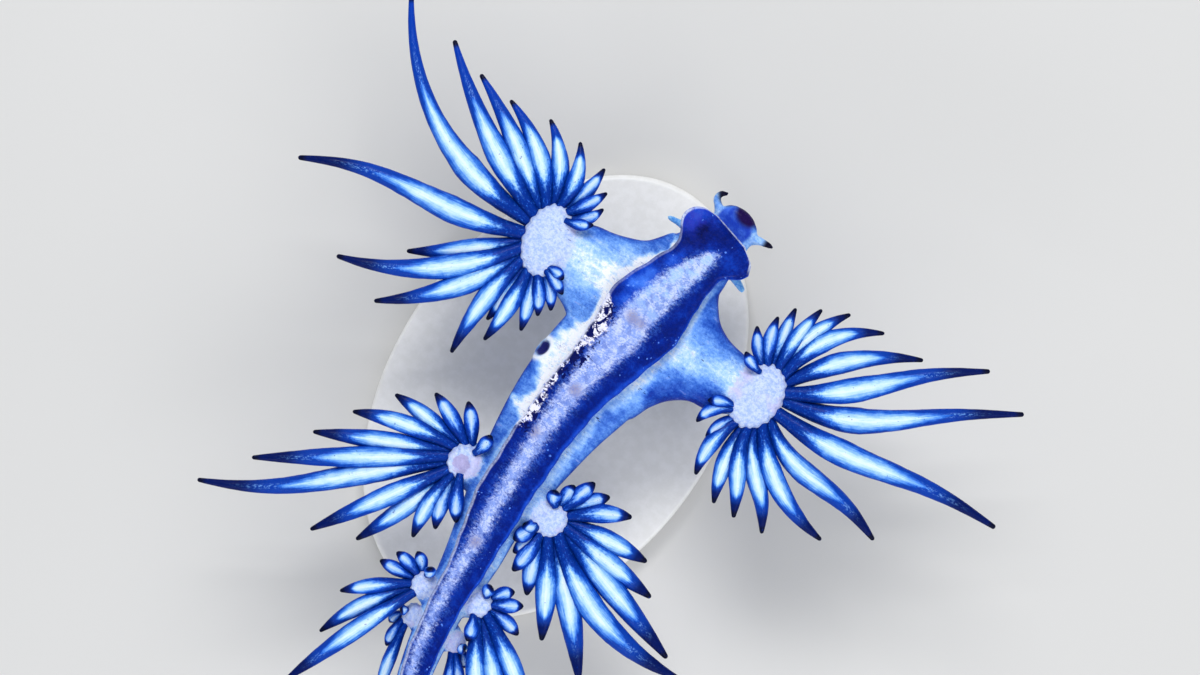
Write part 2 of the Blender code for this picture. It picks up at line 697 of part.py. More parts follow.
def make_stand(nodes):
    """A plain oval base and two short rods up to the underside."""
    base = cylinder("stand_base", (0, BASE_CENTRE_Y, 0), BASE_HALF, BASE_THICKNESS, 48)
    finished(base, "stand_base", "stand_base", nodes)
    low = BASE_THICKNESS + GAP
    for name, y in (("stand_rod_front", ROD_FRONT_Y), ("stand_rod_rear", ROD_REAR_Y)):
        high = MIDDLE_HEIGHT - station(FLANK_DEPTH, y) - GAP
        foot = (station(MIDDLE_X, y), y, low)
        rod = cylinder(name, foot, (ROD_RADIUS, ROD_RADIUS), high - low, 20)
        finished(rod, name, "stand_rod", nodes)


def main():
    clear_scene()
    nodes = bpy.data.collections.new("blue_dragon_sea_slug")
    bpy.context.scene.collection.children.link(nodes)
    make_torso(nodes)
    make_foot(nodes)
    finished(tail(), "tail", "flank_skin", nodes)
    make_head(nodes)
    make_feelers(nodes)
    make_fans(nodes)
    make_stand(nodes)


main()
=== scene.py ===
import math
import random

import bmesh
import bpy
import numpy as np
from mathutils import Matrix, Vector
from mathutils import noise as fractal


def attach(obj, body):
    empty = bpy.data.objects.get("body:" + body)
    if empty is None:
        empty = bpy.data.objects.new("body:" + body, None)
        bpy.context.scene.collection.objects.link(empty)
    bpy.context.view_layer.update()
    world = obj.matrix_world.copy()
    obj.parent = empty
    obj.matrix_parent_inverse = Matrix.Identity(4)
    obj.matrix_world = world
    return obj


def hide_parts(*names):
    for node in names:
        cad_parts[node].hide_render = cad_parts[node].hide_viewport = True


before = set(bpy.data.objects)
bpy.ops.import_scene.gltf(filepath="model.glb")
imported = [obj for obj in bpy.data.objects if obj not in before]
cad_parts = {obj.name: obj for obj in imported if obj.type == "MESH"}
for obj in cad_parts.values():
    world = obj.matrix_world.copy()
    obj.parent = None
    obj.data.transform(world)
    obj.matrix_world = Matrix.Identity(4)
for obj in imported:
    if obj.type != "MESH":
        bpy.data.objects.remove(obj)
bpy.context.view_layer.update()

mm = 0.001
up = Vector((0, 0, 1))
middleHeight = 8.6  # mm from the floor to the animal's middle plane


def smooth(low, high, value):  # soft step from 0 to 1
    t = np.clip((value - low) / (high - low), 0, 1)
    return t * t * (3 - 2 * t)


def bell(distance, width):  # 1 at no distance, fading over the width
    return np.exp(-((distance / width) ** 2))


def pulled(values, target, share):
    return values + share * (target - values)


def level(bearing):  # level direction, anticlockwise from +X
    return Vector((math.cos(math.radians(bearing)), math.sin(math.radians(bearing)), 0))


def spread(first, last, count):
    return [first + (last - first) * k / (count - 1) for k in range(count)]


def curveThrough(rows, at):  # smooth curve through rows, by the place in their first column
    rows = np.array(sorted(rows))
    xs = rows[:, 0]
    at = min(max(at, xs[0]), xs[-1])
    i = min(np.searchsorted(xs, at, "right"), len(xs) - 1) - 1

    def slope(k):
        a, b = max(k - 1, 0), min(k + 1, len(xs) - 1)
        return (rows[b] - rows[a]) / (xs[b] - xs[a])

    low, high, span = rows[i], rows[i + 1], xs[i + 1] - xs[i]
    t = (at - xs[i]) / span
    bend = (t**3 - 2 * t**2 + t) * slope(i) + (t**3 - t**2) * slope(i + 1)
    return low + (high - low) * t * t * (3 - 2 * t) + bend * span


def paint(*rgb):  # a colour picked on screen, made linear
    parts = [value / 255 for value in rgb]
    return tuple(c / 12.92 if c < 0.04045 else ((c + 0.055) / 1.055) ** 2.4 for c in parts) + (1,)


def palette(**colours):
    return {name: paint(*rgb) for name, rgb in colours.items()}


# node helpers; each finds its tree through its sockets


def feed(spot, source):  # links a socket or sets a constant
    if isinstance(source, bpy.types.NodeSocket):
        spot.id_data.links.new(source, spot)
    else:
        spot.default_value = source


def treeOf(values):
    return next(v.id_data for v in values if isinstance(v, bpy.types.NodeSocket))


def node(tree, kind, **values):  # sets properties and feeds sockets, by their names
    made = tree.nodes.new(kind)
    for name, value in values.items():
        if hasattr(made, name):
            setattr(made, name, value)
        else:
            feed(made.inputs[name.replace("_", " ")], value)
    return made


def combined(kind, values, **more):
    made = node(treeOf(values), kind, **more)
    for spot, value in zip(made.inputs, values):
        feed(spot, value)
    return made.outputs


def calc(operation, *values, clamp=False):
    return combined("ShaderNodeMath", values, operation=operation, use_clamp=clamp)[0]


def times(one, *others):
    for other in others:
        one = calc("MULTIPLY", one, other)
    return one


def minus(one, other):
    return calc("SUBTRACT", one, other)


def addTimes(base, value, amount, clamp=False):  # base + value * amount
    return calc("MULTIPLY_ADD", value, amount, base, clamp=clamp)


def jitter(base, cloud, amount, clamp=False):  # base moved up and down by a noise
    return addTimes(base, minus(cloud, 0.5), amount, clamp)


def vectors(operation, *values, **more):
    made = combined("ShaderNodeVectorMath", values, operation=operation, **more)
    return made["Value" if operation == "DOT_PRODUCT" else "Vector"]


def joined(**parts):
    return node(treeOf(parts.values()), "ShaderNodeCombineXYZ", **parts).outputs[0]


def remap(value, low, high, to=(0, 1)):  # soft step from low to high
    return node(value.id_data, "ShaderNodeMapRange", interpolation_type="SMOOTHSTEP", Value=value,
                From_Min=low, From_Max=high, To_Min=to[0], To_Max=to[1]).outputs["Result"]


def blend(share, one, other, how="MIX"):
    made = node(share.id_data, "ShaderNodeMix", data_type="RGBA", blend_type=how)
    for spot, source in ((0, share), (6, one), (7, other)):
        feed(made.inputs[spot], source)
    return made.outputs[2]


def layered(colour, *layers):  # lays tints over a colour, each by its share
    for share, tint in layers:
        colour = blend(share, colour, tint)
    return colour


def ramp(value, stops):
    made = node(value.id_data, "ShaderNodeValToRGB", Fac=value)
    bar = made.color_ramp
    while len(bar.elements) < len(stops):
        bar.elements.new(0.5)
    for element, (at, rgb) in zip(bar.elements, stops):
        element.position, element.color = at, paint(*rgb)
    return made.outputs["Color"]


def mask(name):  # a painted number, for the material at hand
    return node(tree, "ShaderNodeAttribute", attribute_name=name).outputs["Fac"]


def noise(vector, scale, detail=3, rough=0.55, distortion=0):
    return node(vector.id_data, "ShaderNodeTexNoise", Vector=vector, Scale=scale, Detail=detail,
                Roughness=rough, Distortion=distortion).outputs["Fac"]


def cells(vector, scale, feature="SMOOTH_F1"):
    return node(vector.id_data, "ShaderNodeTexVoronoi", feature=feature, Vector=vector,
                Scale=scale).outputs


def bumped(height, distance, strength, **more):
    return node(height.id_data, "ShaderNodeBump", Height=height, Distance=distance,
                Strength=strength, **more).outputs["Normal"]


def stretched(vector, scale, turn=0):
    return node(vector.id_data, "ShaderNodeMapping", Vector=vector, Scale=scale,
                Rotation=(0, 0, math.radians(turn))).outputs["Vector"]


def newGroup(name, numbers, results=("mask",)):  # a node group of a vector and some numbers
    tree = bpy.data.node_groups.new(name, "ShaderNodeTree")
    for way, labels in (("INPUT", ("vector", *numbers)), ("OUTPUT", results)):
        for label in labels:
            kind = "Vector" if label in ("vector", "normal") else "Float"
            tree.interface.new_socket(label, in_out=way, socket_type="NodeSocket" + kind)
    given = tree.nodes.new("NodeGroupInput").outputs
    return tree, given, tree.nodes.new("NodeGroupOutput").inputs


def useGroup(group, vector, **values):
    made = node(vector.id_data, "ShaderNodeGroup", node_tree=group, vector=vector)
    for name, value in values.items():
        feed(made.inputs[name], value)
    return made


def stamp(group, vector, **values):  # the mask of a group
    return useGroup(group, vector, **values).outputs["mask"]


# ragged: turns a depth in mm into a mask with a feathery edge
ragged, given, result = newGroup("ragged edge", ("depth", "reach", "soft", "grain"))
coarse = noise(given["vector"], times(given["grain"], 0.28), 2, 0.5)
fine = noise(given["vector"], given["grain"], 4, 0.75)
wander = times(minus(addTimes(times(coarse, 0.35), fine, 0.65), 0.5), 2.6)
depth = addTimes(given["depth"], wander, given["reach"])
feed(result["mask"], remap(depth, times(given["soft"], -1), given["soft"]))

# flecks: sparse little spots
flecks, given, result = newGroup("flecks", ("scale", "size"))
swirl = node(flecks, "ShaderNodeTexNoise", Scale=7, Detail=2, Vector=given["vector"])
warped = vectors("MULTIPLY_ADD", swirl.outputs["Color"], (0.16, 0.16, 0.16), given["vector"])
spots = cells(warped, given["scale"], "F1")
dice = node(flecks, "ShaderNodeSeparateColor", Color=spots["Color"]).outputs["Red"]
size = times(given["size"], addTimes(0.35, dice, 0.9))
size = times(size, remap(noise(given["vector"], 0.9, 2), 0.42, 0.68))
feed(result["mask"], remap(minus(size, spots["Distance"]), -0.03, 0.05))

# wetGrain: fine bumps and uneven gloss
numbers, results = ("scale", "height", "gloss"), ("normal", "roughness")
wetGrain, given, result = newGroup("wet grain", numbers, results)
swell = noise(given["vector"], given["scale"], 4, 0.6)
pores = cells(given["vector"], times(given["scale"], 2.6))["Distance"]
feed(result["normal"], bumped(addTimes(swell, pores, -0.55), 0.00008, given["height"]))
feed(result["roughness"], jitter(given["gloss"], noise(given["vector"], 0.8), 0.35, clamp=True))

# veins: thin winding lines that come in clumps
veins, given, result = newGroup("veins", ("scale", "width", "spread"))
winding = noise(given["vector"], given["scale"], 3, 0.6, 1.5)
ridge = remap(calc("ABSOLUTE", minus(winding, 0.5)), given["width"], 0)
clump = remap(noise(given["vector"], 0.9, 2), given["spread"], calc("ADD", given["spread"], 0.1))
feed(result["mask"], times(ridge, clump))


def newMaterial(name, **values):
    made = bpy.data.materials.new(name)
    made.use_nodes = True
    shader = made.node_tree.nodes["Principled BSDF"]
    for label, value in values.items():
        shader.inputs[label.replace("_", " ")].default_value = value
    place = node(made.node_tree, "ShaderNodeTexCoord").outputs["Object"]
    return made, made.node_tree, shader, stretched(place, (1000, 1000, 1000))  # place in mm


def finish(shader, colour, roughness, normal):
    for label, source in (("Base Color", colour), ("Roughness", roughness), ("Normal", normal)):
        feed(shader.inputs[label], source)


def finishWet(colour, **values):  # for the material at hand; returns its normal
    grain = useGroup(wetGrain, place, **values).outputs
    finish(shader, colour, grain["roughness"], grain["normal"])
    return grain["normal"]


wet = {
    "Coat_Weight": 0.05,  # the thin wet film on the skin
    "Coat_Roughness": 0.14,
    "Specular_IOR_Level": 0.1,
    "IOR": 1.33,
    "Subsurface_Weight": 0.3,
    "Subsurface_Scale": 0.0005,
    "Subsurface_Radius": (0.7, 0.85, 1),
}
print("helpers and node groups ready")

# the body's line: y, middle x, foot half, flank half, flank height, flank depth, in mm
bodyLine = (
    (11.5, 2.7, 1.2, 1.2, 0.3, 0.8), (11.3, 2.65, 1.72, 1.3, 0.35, 0.9),
    (10.95, 2.55, 2.08, 1.4, 0.4, 1), (10.5, 2.42, 2.26, 1.5, 0.42, 1.1),
    (10, 2.32, 2.12, 1.6, 0.45, 1.2), (9.6, 2.24, 1.75, 1.7, 0.48, 1.26),
    (9.2, 2.16, 1.47, 1.82, 0.52, 1.32), (8.6, 2.03, 1.47, 1.95, 0.56, 1.42),
    (7.5, 1.74, 1.72, 2.3, 0.64, 1.62), (5.5, 1.42, 2.12, 2.85, 0.74, 1.9),
    (3.5, 1.22, 1.85, 3, 0.74, 1.95), (1.5, 0.88, 1.58, 2.92, 0.72, 1.86),
    (-1, 0.58, 1.42, 2.6, 0.66, 1.7), (-4, 0.52, 1.34, 2.15, 0.58, 1.48),
    (-6.5, 0.62, 1.3, 1.72, 0.5, 1.32), (-9.4, 1.03, 1, 1.42, 0.42, 1.15),
    (-12.4, 1.28, 0.82, 1.06, 0.35, 0.95), (-15, 1.72, 0.75, 0.9, 0.3, 0.8),
    (-18, 2.5, 0.55, 0.7, 0.26, 0.62), (-21.5, 3.5, 0.32, 0.45, 0.22, 0.45),
    (-24.5, 4.3, 0.15, 0.27, 0.2, 0.3), (-26.3, 4.72, 0.05, 0.12, 0.12, 0.14),
)
middleX, footHalf, flankHalf, flankHeight, flankDepth = range(1, 6)
tailStart, tailEnd = -15.6, -26.3
padGap, padThickness = 0.3, 0.55
lineYs = np.linspace(bodyLine[-1][0], bodyLine[0][0], 760)
lineColumns = np.array([curveThrough(bodyLine, y) for y in lineYs]).T


def lineAt(column, y):
    return np.interp(y, lineYs, lineColumns[column])


def acrossAt(y):  # level direction across the body, to the animal's left
    run = Vector((lineAt(middleX, y + 0.05) - lineAt(middleX, y - 0.05), 0.1, 0))
    return Vector((run.y, -run.x, 0)).normalized()


def middlePoint(y, height=0):
    return Vector((lineAt(middleX, y), y, middleHeight + height))


def tailShare(y):  # 1 on the body, fading to 0 at the tip of the tail
    return min(max((y - tailEnd) / (tailStart - tailEnd), 0), 1) ** 0.7


def softPower(value, exponent):
    return math.copysign(abs(value) ** exponent, value)


def ringRound(centre, across, sizes, points, powers=(1, 1, 1), above=up):
    ring = []
    for k in range(points):
        turn = 2 * math.pi * k / points
        rise = math.sin(turn)
        part = 1 if rise >= 0 else 2
        side = across * sizes[0] * softPower(math.cos(turn), powers[0])
        ring.append(centre + side + above * sizes[part] * softPower(rise, powers[part]))
    return ring


def addLoft(shape, rings):
    loops = [[shape.verts.new(p * mm) for p in ring] for ring in rings]
    for one, other in zip(loops, loops[1:]):
        for k in range(len(one)):
            after = (k + 1) % len(one)
            shape.faces.new((one[k], one[after], other[after], other[k]))
    shape.faces.new(loops[0])
    shape.faces.new(loops[-1][::-1])


def onOval(radii, turn, angle):
    first, second = level(turn) * radii[0], level(turn + 90) * radii[1]
    return first * math.cos(angle) + second * math.sin(angle)


def addBlob(shape, centre, radii, turn, wave=(0, 0), square=2, count=96, layers=24):
    rings = []
    for j in range(1, layers):
        rise = math.cos(math.pi * j / layers)
        reach = (1 - abs(rise) ** square) ** (1 / square)
        ring = []
        for k in range(count):
            a = 2 * math.pi * k / count
            out = reach * (1 + wave[1] * abs(math.sin(wave[0] * a / 2)) - wave[1] * 0.6)
            ring.append(centre + onOval(radii, turn, a) * out - up * radii[2] * rise)
        rings.append(ring)
    addLoft(shape, rings)


def newObject(name, data):
    made = bpy.data.objects.new(name, data)
    bpy.context.scene.collection.objects.link(made)
    return made


def shapeDone(shape, name):  # the shape as an object in the scene
    bmesh.ops.recalc_face_normals(shape, faces=shape.faces)
    mesh = bpy.data.meshes.new(name)
    shape.to_mesh(mesh)
    shape.free()
    return newObject(name, mesh)


def plainMesh(thing):  # the evaluated shape
    graph = bpy.context.evaluated_depsgraph_get()
    return bpy.data.meshes.new_from_object(thing.evaluated_get(graph))


def fanOf(**own):
    usual = {"palmOut": 0, "turn": 0, "split": None, "slope": 0, "fullness": (0.5, 0.5)}
    return {**usual, **own}


# the fans of cerata: bearing, reach, bow and swerve of each, in degrees and mm
fans = {
    "right_front": fanOf(
        hub=(-4.66, 5.84, 0), palm=(1.3, 1.92, 0.92), turn=13, roots=(75, 170, 194, 311), split=182,
        width=(0.38, 0.115), fullness=(-0.15, 0.05),
        cerata=(
            (53, 2.4, -0.1), (64, 3.2, -0.3), (73, 3.8, -0.1), (86, 4.6, -0.2), (106, 5.2, -0.45),
            (123, 6.1, -0.5), (139, 7.3, -0.55), (146, 9, -0.25), (149, 11.1, 0.45),
            (153, 14.1, 1.9), (195.5, 13.2, -0.25, 0.3), (218, 7.1, 0.2), (218, 10.6, 0.9),
            (233, 9.2, 0.6), (263, 7.4, -0.3), (266, 5, 0.1), (271, 5.9, 0.2), (287, 4.7, 0.1),
            (296, 3.8, 0.1), (306, 3.5, 0.2), (319, 2.8, 0.1), (325, 2.1, 0.1),
        ),
    ),
    "left_front": fanOf(
        hub=(8.33, 5.26, 0), palm=(1.3, 1.78, 0.92), roots=(126, 22, -6, -129), split=10,
        width=(0.38, 0.11), fullness=(-0.05, 0.3),
        cerata=(
            (139, 2.3, 0.1), (124, 3.5, 0.1), (109, 4.1, 0.2), (100, 4.8, 0.1), (87, 5.4, 0.2),
            (75, 6.2, 0.5), (60, 7.1, 0.9), (46, 8.5, 0.65), (40, 11.7, -0.1, -0.2),
            (30, 13.4, -0.7, -0.3), (5, 13.6, -0.1, -0.25), (-17, 9.3, -0.35, -0.3),
            (-32, 7.9, -0.8), (-54, 6.9, -0.2, -0.2), (-67, 6.2, -0.25, -0.1), (-78, 5.8, -0.25),
            (-94, 5, -0.4), (-107, 3.3, -0.1), (-123, 3.3, -0.4), (-141, 2.5, -0.1),
        ),
    ),
    "right_middle": fanOf(
        hub=(-1.99, -5.63, -0.1), palm=(0.85, 0.9, 0.75), turn=10, roots=(70, 212, 242, 290),
        split=229, width=(0.62, 0.065),
        cerata=(
            (78, 1.9, -0.1), (120, 3, -0.1), (147, 3.7, -0.1), (170, 4.8, -0.1), (190, 6.1, -0.3),
            (203, 7.7, -0.05), (213, 10.6), (218, 13.4, 0.5, -0.2), (238, 8.4), (250, 6.7, 0.1),
            (270, 4.6, -0.25), (281, 3.7, -0.2), (297, 3.1, -0.1),
        ),
    ),
    "left_middle": fanOf(
        hub=(3.19, -5.63, -0.1), palm=(0.9, 0.95, 0.75), roots=(100, -22, -52, -130), split=-38,
        width=(0.66, 0.09),
        cerata=(
            (112, 1.5, 0.1), (88, 2.1), (73, 2.9), (54, 3.2, 0.1), (35, 4.1, 0.2), (10, 5.3, 0.1),
            (-4, 6.4), (-16, 9.1, 0.05), (-17, 10.3, -1.15), (-46, 8.3, 0.2), (-60, 6.1, 0.1),
            (-73, 4, -0.1), (-92, 3.2, 0.1), (-104, 2.5, 0.1), (-117, 2.1), (-139, 1.3, 0.2),
        ),
    ),
    "right_rear": fanOf(
        hub=(0.18, -11.88, 0.02), palmOut=-0.4, palm=(0.62, 0.72, 0.62), roots=(110, 250),
        slope=0.06, width=(0.56, 0.06),
        cerata=(
            (123, 1.1, -0.1), (143, 2, -0.1), (166, 2.5, -0.1), (184, 2.9), (215, 4.5, -0.1),
            (235, 5.9, -0.3), (246, 8.5, -0.1),
        ),
    ),
    "left_rear": fanOf(
        hub=(2.33, -11.15, 0.02), palmOut=0.3, palm=(0.65, 0.75, 0.62), roots=(75, -85), slope=0.05,
        width=(0.58, 0.088),
        cerata=(
            (72, 1.2, 0.1), (46, 2.1, 0.1), (28, 2.5), (-4, 2.8, 0.1), (-31, 6.6, 0.2), (-43, 6.9),
            (-54, 6.1, -0.1), (-66, 2, 0.1),
        ),
    ),
    "right_tail": fanOf(
        hub=(0.42, -13.48, -0.6), palmOut=-0.26, palm=(0.5, 0.6, 0.52), roots=(165, 262),
        slope=-0.09, width=(0.52, 0.044),
        cerata=(
            (188, 0.9), (225, 1.4, -0.1), (257, 2.1, -0.1), (277, 4.4, -0.1),
        ),
    ),
    "left_tail": fanOf(
        hub=(2.22, -13.4, -0.62), palmOut=0.52, palm=(0.5, 0.6, 0.52), roots=(10, -85), slope=-0.09,
        width=(0.54, 0.055),
        cerata=(
            (0, 1.1, -0.1), (-30, 1.8, 0.1), (-44, 2.9), (-60, 3.7, 0.1),
        ),
    ),
}


def hubOf(fan):
    return Vector(fan["hub"]) + up * middleHeight


def palmCentre(fan):
    return hubOf(fan) + Vector((fan["palmOut"], 0, 0))


# body skin
skin = {
    "voxel": 0.078,  # mm
    "softenings": 5,
    "ringStep": 0.14,  # mm between the rings of the flanks
    "sideAbove": 0.14,  # how far the flanks reach up into the foot
    "palmSquare": 3,  # how full the edge of a palm is
    "palmTop": 0.84,  # height of a palm, as a share of its half size up
    "scallop": 0.13,  # mm
    "arms": (
        (
            (1.2, 9.72, 2, 0.7), (0.35, 9.72, 2, 0.85), (-0.1, 9.2, 2.05, 0.92),
            (-0.6, 8.62, 2.1, 0.98), (-1.4, 8.25, 2.9, 0.98), (-2.2, 8, 3.55, 0.9),
            (-3, 7.85, 3.88, 0.86), (-3.9, 7.5, 4.15, 0.84), (-4.5, 7.1, 4.6, 0.8),
        ),
        (
            (2.2, 9.1, 0.6, 0.8), (3.6, 8.8, 0.6, 1), (4.2, 7.95, 1.75, 1), (4.8, 7.25, 2.55, 0.98),
            (5.65, 6.8, 3.12, 0.9), (6.6, 6.62, 3.25, 0.88), (7.5, 6.55, 3.6, 0.86),
            (8.2, 6.2, 4.2, 0.8),
        ),
    ),  # right and left: x, front y, rear y, half thickness
    "armHeight": -0.2,
    "headStart": (2.36, 10.2),
    "headBearing": 76,
    "headRows": (
        (-0.6, 1.5, 0.3, 1.15), (0, 1.55, 0.32, 1.15), (0.6, 1.42, 0.28, 1.1),
        (1.1, 1.26, 0.24, 1.05), (1.45, 1.2, 0.32, 1), (1.75, 1.16, 0.5, 0.92),
        (2.02, 1.02, 0.58, 0.78), (2.24, 0.76, 0.48, 0.58), (2.4, 0.42, 0.28, 0.34),
        (2.45, 0.18, 0.12, 0.15),
    ),  # ahead of the neck, half width, height, depth
    "feelers": (
        (
            (1.1, -0.8, -0.1, 0.62), (1.42, -1.12, 0.02, 0.52), (1.62, -1.44, 0.1, 0.42),
            (1.76, -1.68, 0.16, 0.38), (2.02, -1.73, 0.2, 0.34), (2.2, -1.62, 0.2, 0.28),
            (2.33, -1.44, 0.18, 0.15),
        ),
        (
            (1.5, 0.85, -0.1, 0.64), (1.8, 1.15, 0.02, 0.52), (1.94, 1.38, 0.1, 0.42),
            (2.04, 1.62, 0.15, 0.36), (2.12, 1.84, 0.17, 0.28), (2.17, 2.04, 0.16, 0.14),
        ),
        (
            (-0.3, -1.4, -0.35, 0.5), (-0.42, -2, -0.3, 0.4), (-0.5, -2.22, -0.28, 0.34),
            (-0.58, -2.44, -0.24, 0.31), (-0.66, -2.66, -0.18, 0.2),
        ),
        (
            (-0.2, 1.4, -0.36, 0.5), (-0.28, 2.14, -0.34, 0.42), (-0.31, 2.32, -0.32, 0.38),
            (-0.34, 2.49, -0.28, 0.34), (-0.36, 2.68, -0.22, 0.22),
        ),
    ),  # ahead, to the left, up, width
    "lumps": (
        ((-1.35, 1.05, -0.15), (0.8, 1.15, 0.7), 10), ((-1.35, -5.55, -0.2), (1, 1.3, 0.75), 0),
        ((2.45, -5.6, -0.2), (1, 1.35, 0.75), 0), ((0.3, -11.8, -0.15), (0.75, 0.95, 0.6), 0),
        ((2.2, -11.2, -0.15), (0.75, 0.95, 0.6), 0), ((0.75, -13.4, -0.4), (0.65, 0.8, 0.5), 0),
        ((2.2, -13.4, -0.4), (0.7, 0.8, 0.5), 0),
    ),  # the mound on the right flank, then the short stalks of the palms behind
}


def headPoint(ahead, side, height):
    start = Vector((*skin["headStart"], middleHeight + height))
    return start + level(skin["headBearing"]) * ahead + level(skin["headBearing"] - 90) * side


def moreRows(rows, count):  # more rows, on a smooth curve through these
    keyed = [(k, *row) for k, row in enumerate(rows)]
    return [curveThrough(keyed, at)[1:] for at in spread(0, len(rows) - 1, count)]


shape = bmesh.new()
rings = []
for y in np.arange(10.6, tailEnd, -skin["ringStep"]):
    height = lineAt(flankHeight, y) + skin["sideAbove"] * tailShare(y)
    sizes = (lineAt(flankHalf, y), height, lineAt(flankDepth, y))
    rings.append(ringRound(middlePoint(y), acrossAt(y), sizes, 56, (0.92, 0.8, 1)))
addLoft(shape, rings)
for rows in skin["arms"]:
    rings = []
    for x, front, rear, half in moreRows(rows, 40):
        centre = Vector((x, (front + rear) / 2, middleHeight + skin["armHeight"]))
        sizes = ((front - rear) / 2, half, half)
        rings.append(ringRound(centre, Vector((0, 1, 0)), sizes, 56, (0.85, 1, 1)))
    addLoft(shape, rings)
forward, leftward = level(skin["headBearing"]), level(skin["headBearing"] - 90)
rings = []
for ahead, *sizes in moreRows(skin["headRows"], 44):
    rings.append(ringRound(headPoint(ahead, 0, 0), leftward, sizes, 48, (1, 0.8, 1)))
addLoft(shape, rings)
for rows in skin["feelers"]:
    rows = moreRows(rows, 26)
    path = [headPoint(*row[:3]) for row in rows]
    rings = []
    for k, row in enumerate(rows):
        run = path[min(k + 1, len(path) - 1)] - path[max(k - 1, 0)]
        side, half = run.cross(up).normalized(), row[3] / 2
        above = side.cross(run).normalized()
        rings.append(ringRound(path[k], side, (half, half * 0.9, half * 0.9), 20, above=above))
    addLoft(shape, rings)
for centre, radii, turn in skin["lumps"]:
    addBlob(shape, Vector(centre) + up * middleHeight, radii, turn)
for fan in fans.values():
    *radii, high = fan["palm"]
    radii.append(high * skin["palmTop"])
    wave = (max(len(fan["cerata"]), 12), skin["scallop"] / radii[0])
    addBlob(shape, palmCentre(fan), radii, fan["turn"], wave, skin["palmSquare"])
bodySkin = shapeDone(shape, "body_skin")
step = bodySkin.modifiers.new("melt", "REMESH")
step.mode = "VOXEL"
step.voxel_size = skin["voxel"] * mm
step = bodySkin.modifiers.new("soften", "SMOOTH")
step.factor = 0.5
step.iterations = skin["softenings"]
mesh = plainMesh(bodySkin)
bodySkin.modifiers.clear()
bodySkin.data = mesh
print("body skin:", len(mesh.polygons), "faces")


def readRows(collection, field):
    rows = np.empty((len(collection), 3))
    collection.foreach_get(field, rows.ravel())
    return rows


def store(mesh, **masks):  # paints numbers on the mesh
    for name, values in masks.items():
        layer = mesh.attributes.new(name, "FLOAT", "POINT")
        layer.data.foreach_set("value", np.asarray(values, dtype=np.float32))


def inOval(points, centre, radii, turn):  # 1 on the oval's edge, less inside
    away = points[:, :2] - centre[:2]
    u, v = away @ np.array(level(turn).xy), away @ np.array(level(turn + 90).xy)
    return np.hypot(u / radii[0], v / radii[1])


dents = {  # centre, radii and turn of each, then its depth
    "pit": (((-1.92, 1.27), (0.34, 0.5), -8), 0.26),  # the opening on the right flank
    "hollow": (((-2.02, -5.85), (0.5, 0.58), 10), 0.14),  # the palm that is cupped
    "lips": (0.05, 0.06),
    "mouth": 0.16,
}
points, facing = readRows(mesh.vertices, "co") / mm, readRows(mesh.vertex_normals, "vector")
h = points[:, 2] - middleHeight
pitDistance, hollowDistance = (inOval(points, *dents[name][0]) for name in ("pit", "hollow"))
pitTop = smooth(0, 0.25, facing[:, 2])
hollowTop = smooth(0.2, 0.6, facing[:, 2]) * (h > -0.5)
sink = (1 - smooth(0.2, 1.05, pitDistance)) * pitTop * dents["pit"][1]
sink += (1 - smooth(0.4, 1.1, hollowDistance)) * hollowTop * dents["hollow"][1]
sink -= bell(pitDistance - 1.22, 0.22) * pitTop * dents["lips"][0]
sink -= bell(hollowDistance - 1.25, 0.25) * hollowTop * dents["lips"][1]
fromNeck = points[:, :2] - skin["headStart"]
ahead, leftOf = fromNeck @ np.array(forward.xy), fromNeck @ np.array(leftward.xy)
mouth = bell(h, 0.07) * smooth(1.8, 2.1, ahead) * (1 - smooth(0.45, 0.75, np.abs(leftOf)))
points = points - facing * (sink + mouth * dents["mouth"])[:, None]
mesh.vertices.foreach_set("co", (points * mm).ravel())
mesh.update()

x, y, h = points[:, 0], points[:, 1], points[:, 2] - middleHeight
acrossX = np.array([acrossAt(v).x for v in lineYs])
off = (x - lineAt(middleX, y)) * np.interp(y, lineYs, acrossX)  # to the left of the middle line
outside = np.abs(off) - lineAt(footHalf, y)  # mm outside the margin of the foot
onRight = (off < 0).astype(float)  # the animal's right side
upward = facing[:, 2]


def along(start, end, width):  # 1 on a line across the skin, fading over its width
    a, b = np.array(start), np.array(end)
    t = np.clip(((points[:, :2] - a) @ (b - a)) / ((b - a) @ (b - a)), 0, 1)
    return bell(np.linalg.norm(points[:, :2] - a - t[:, None] * (b - a), axis=1), width)


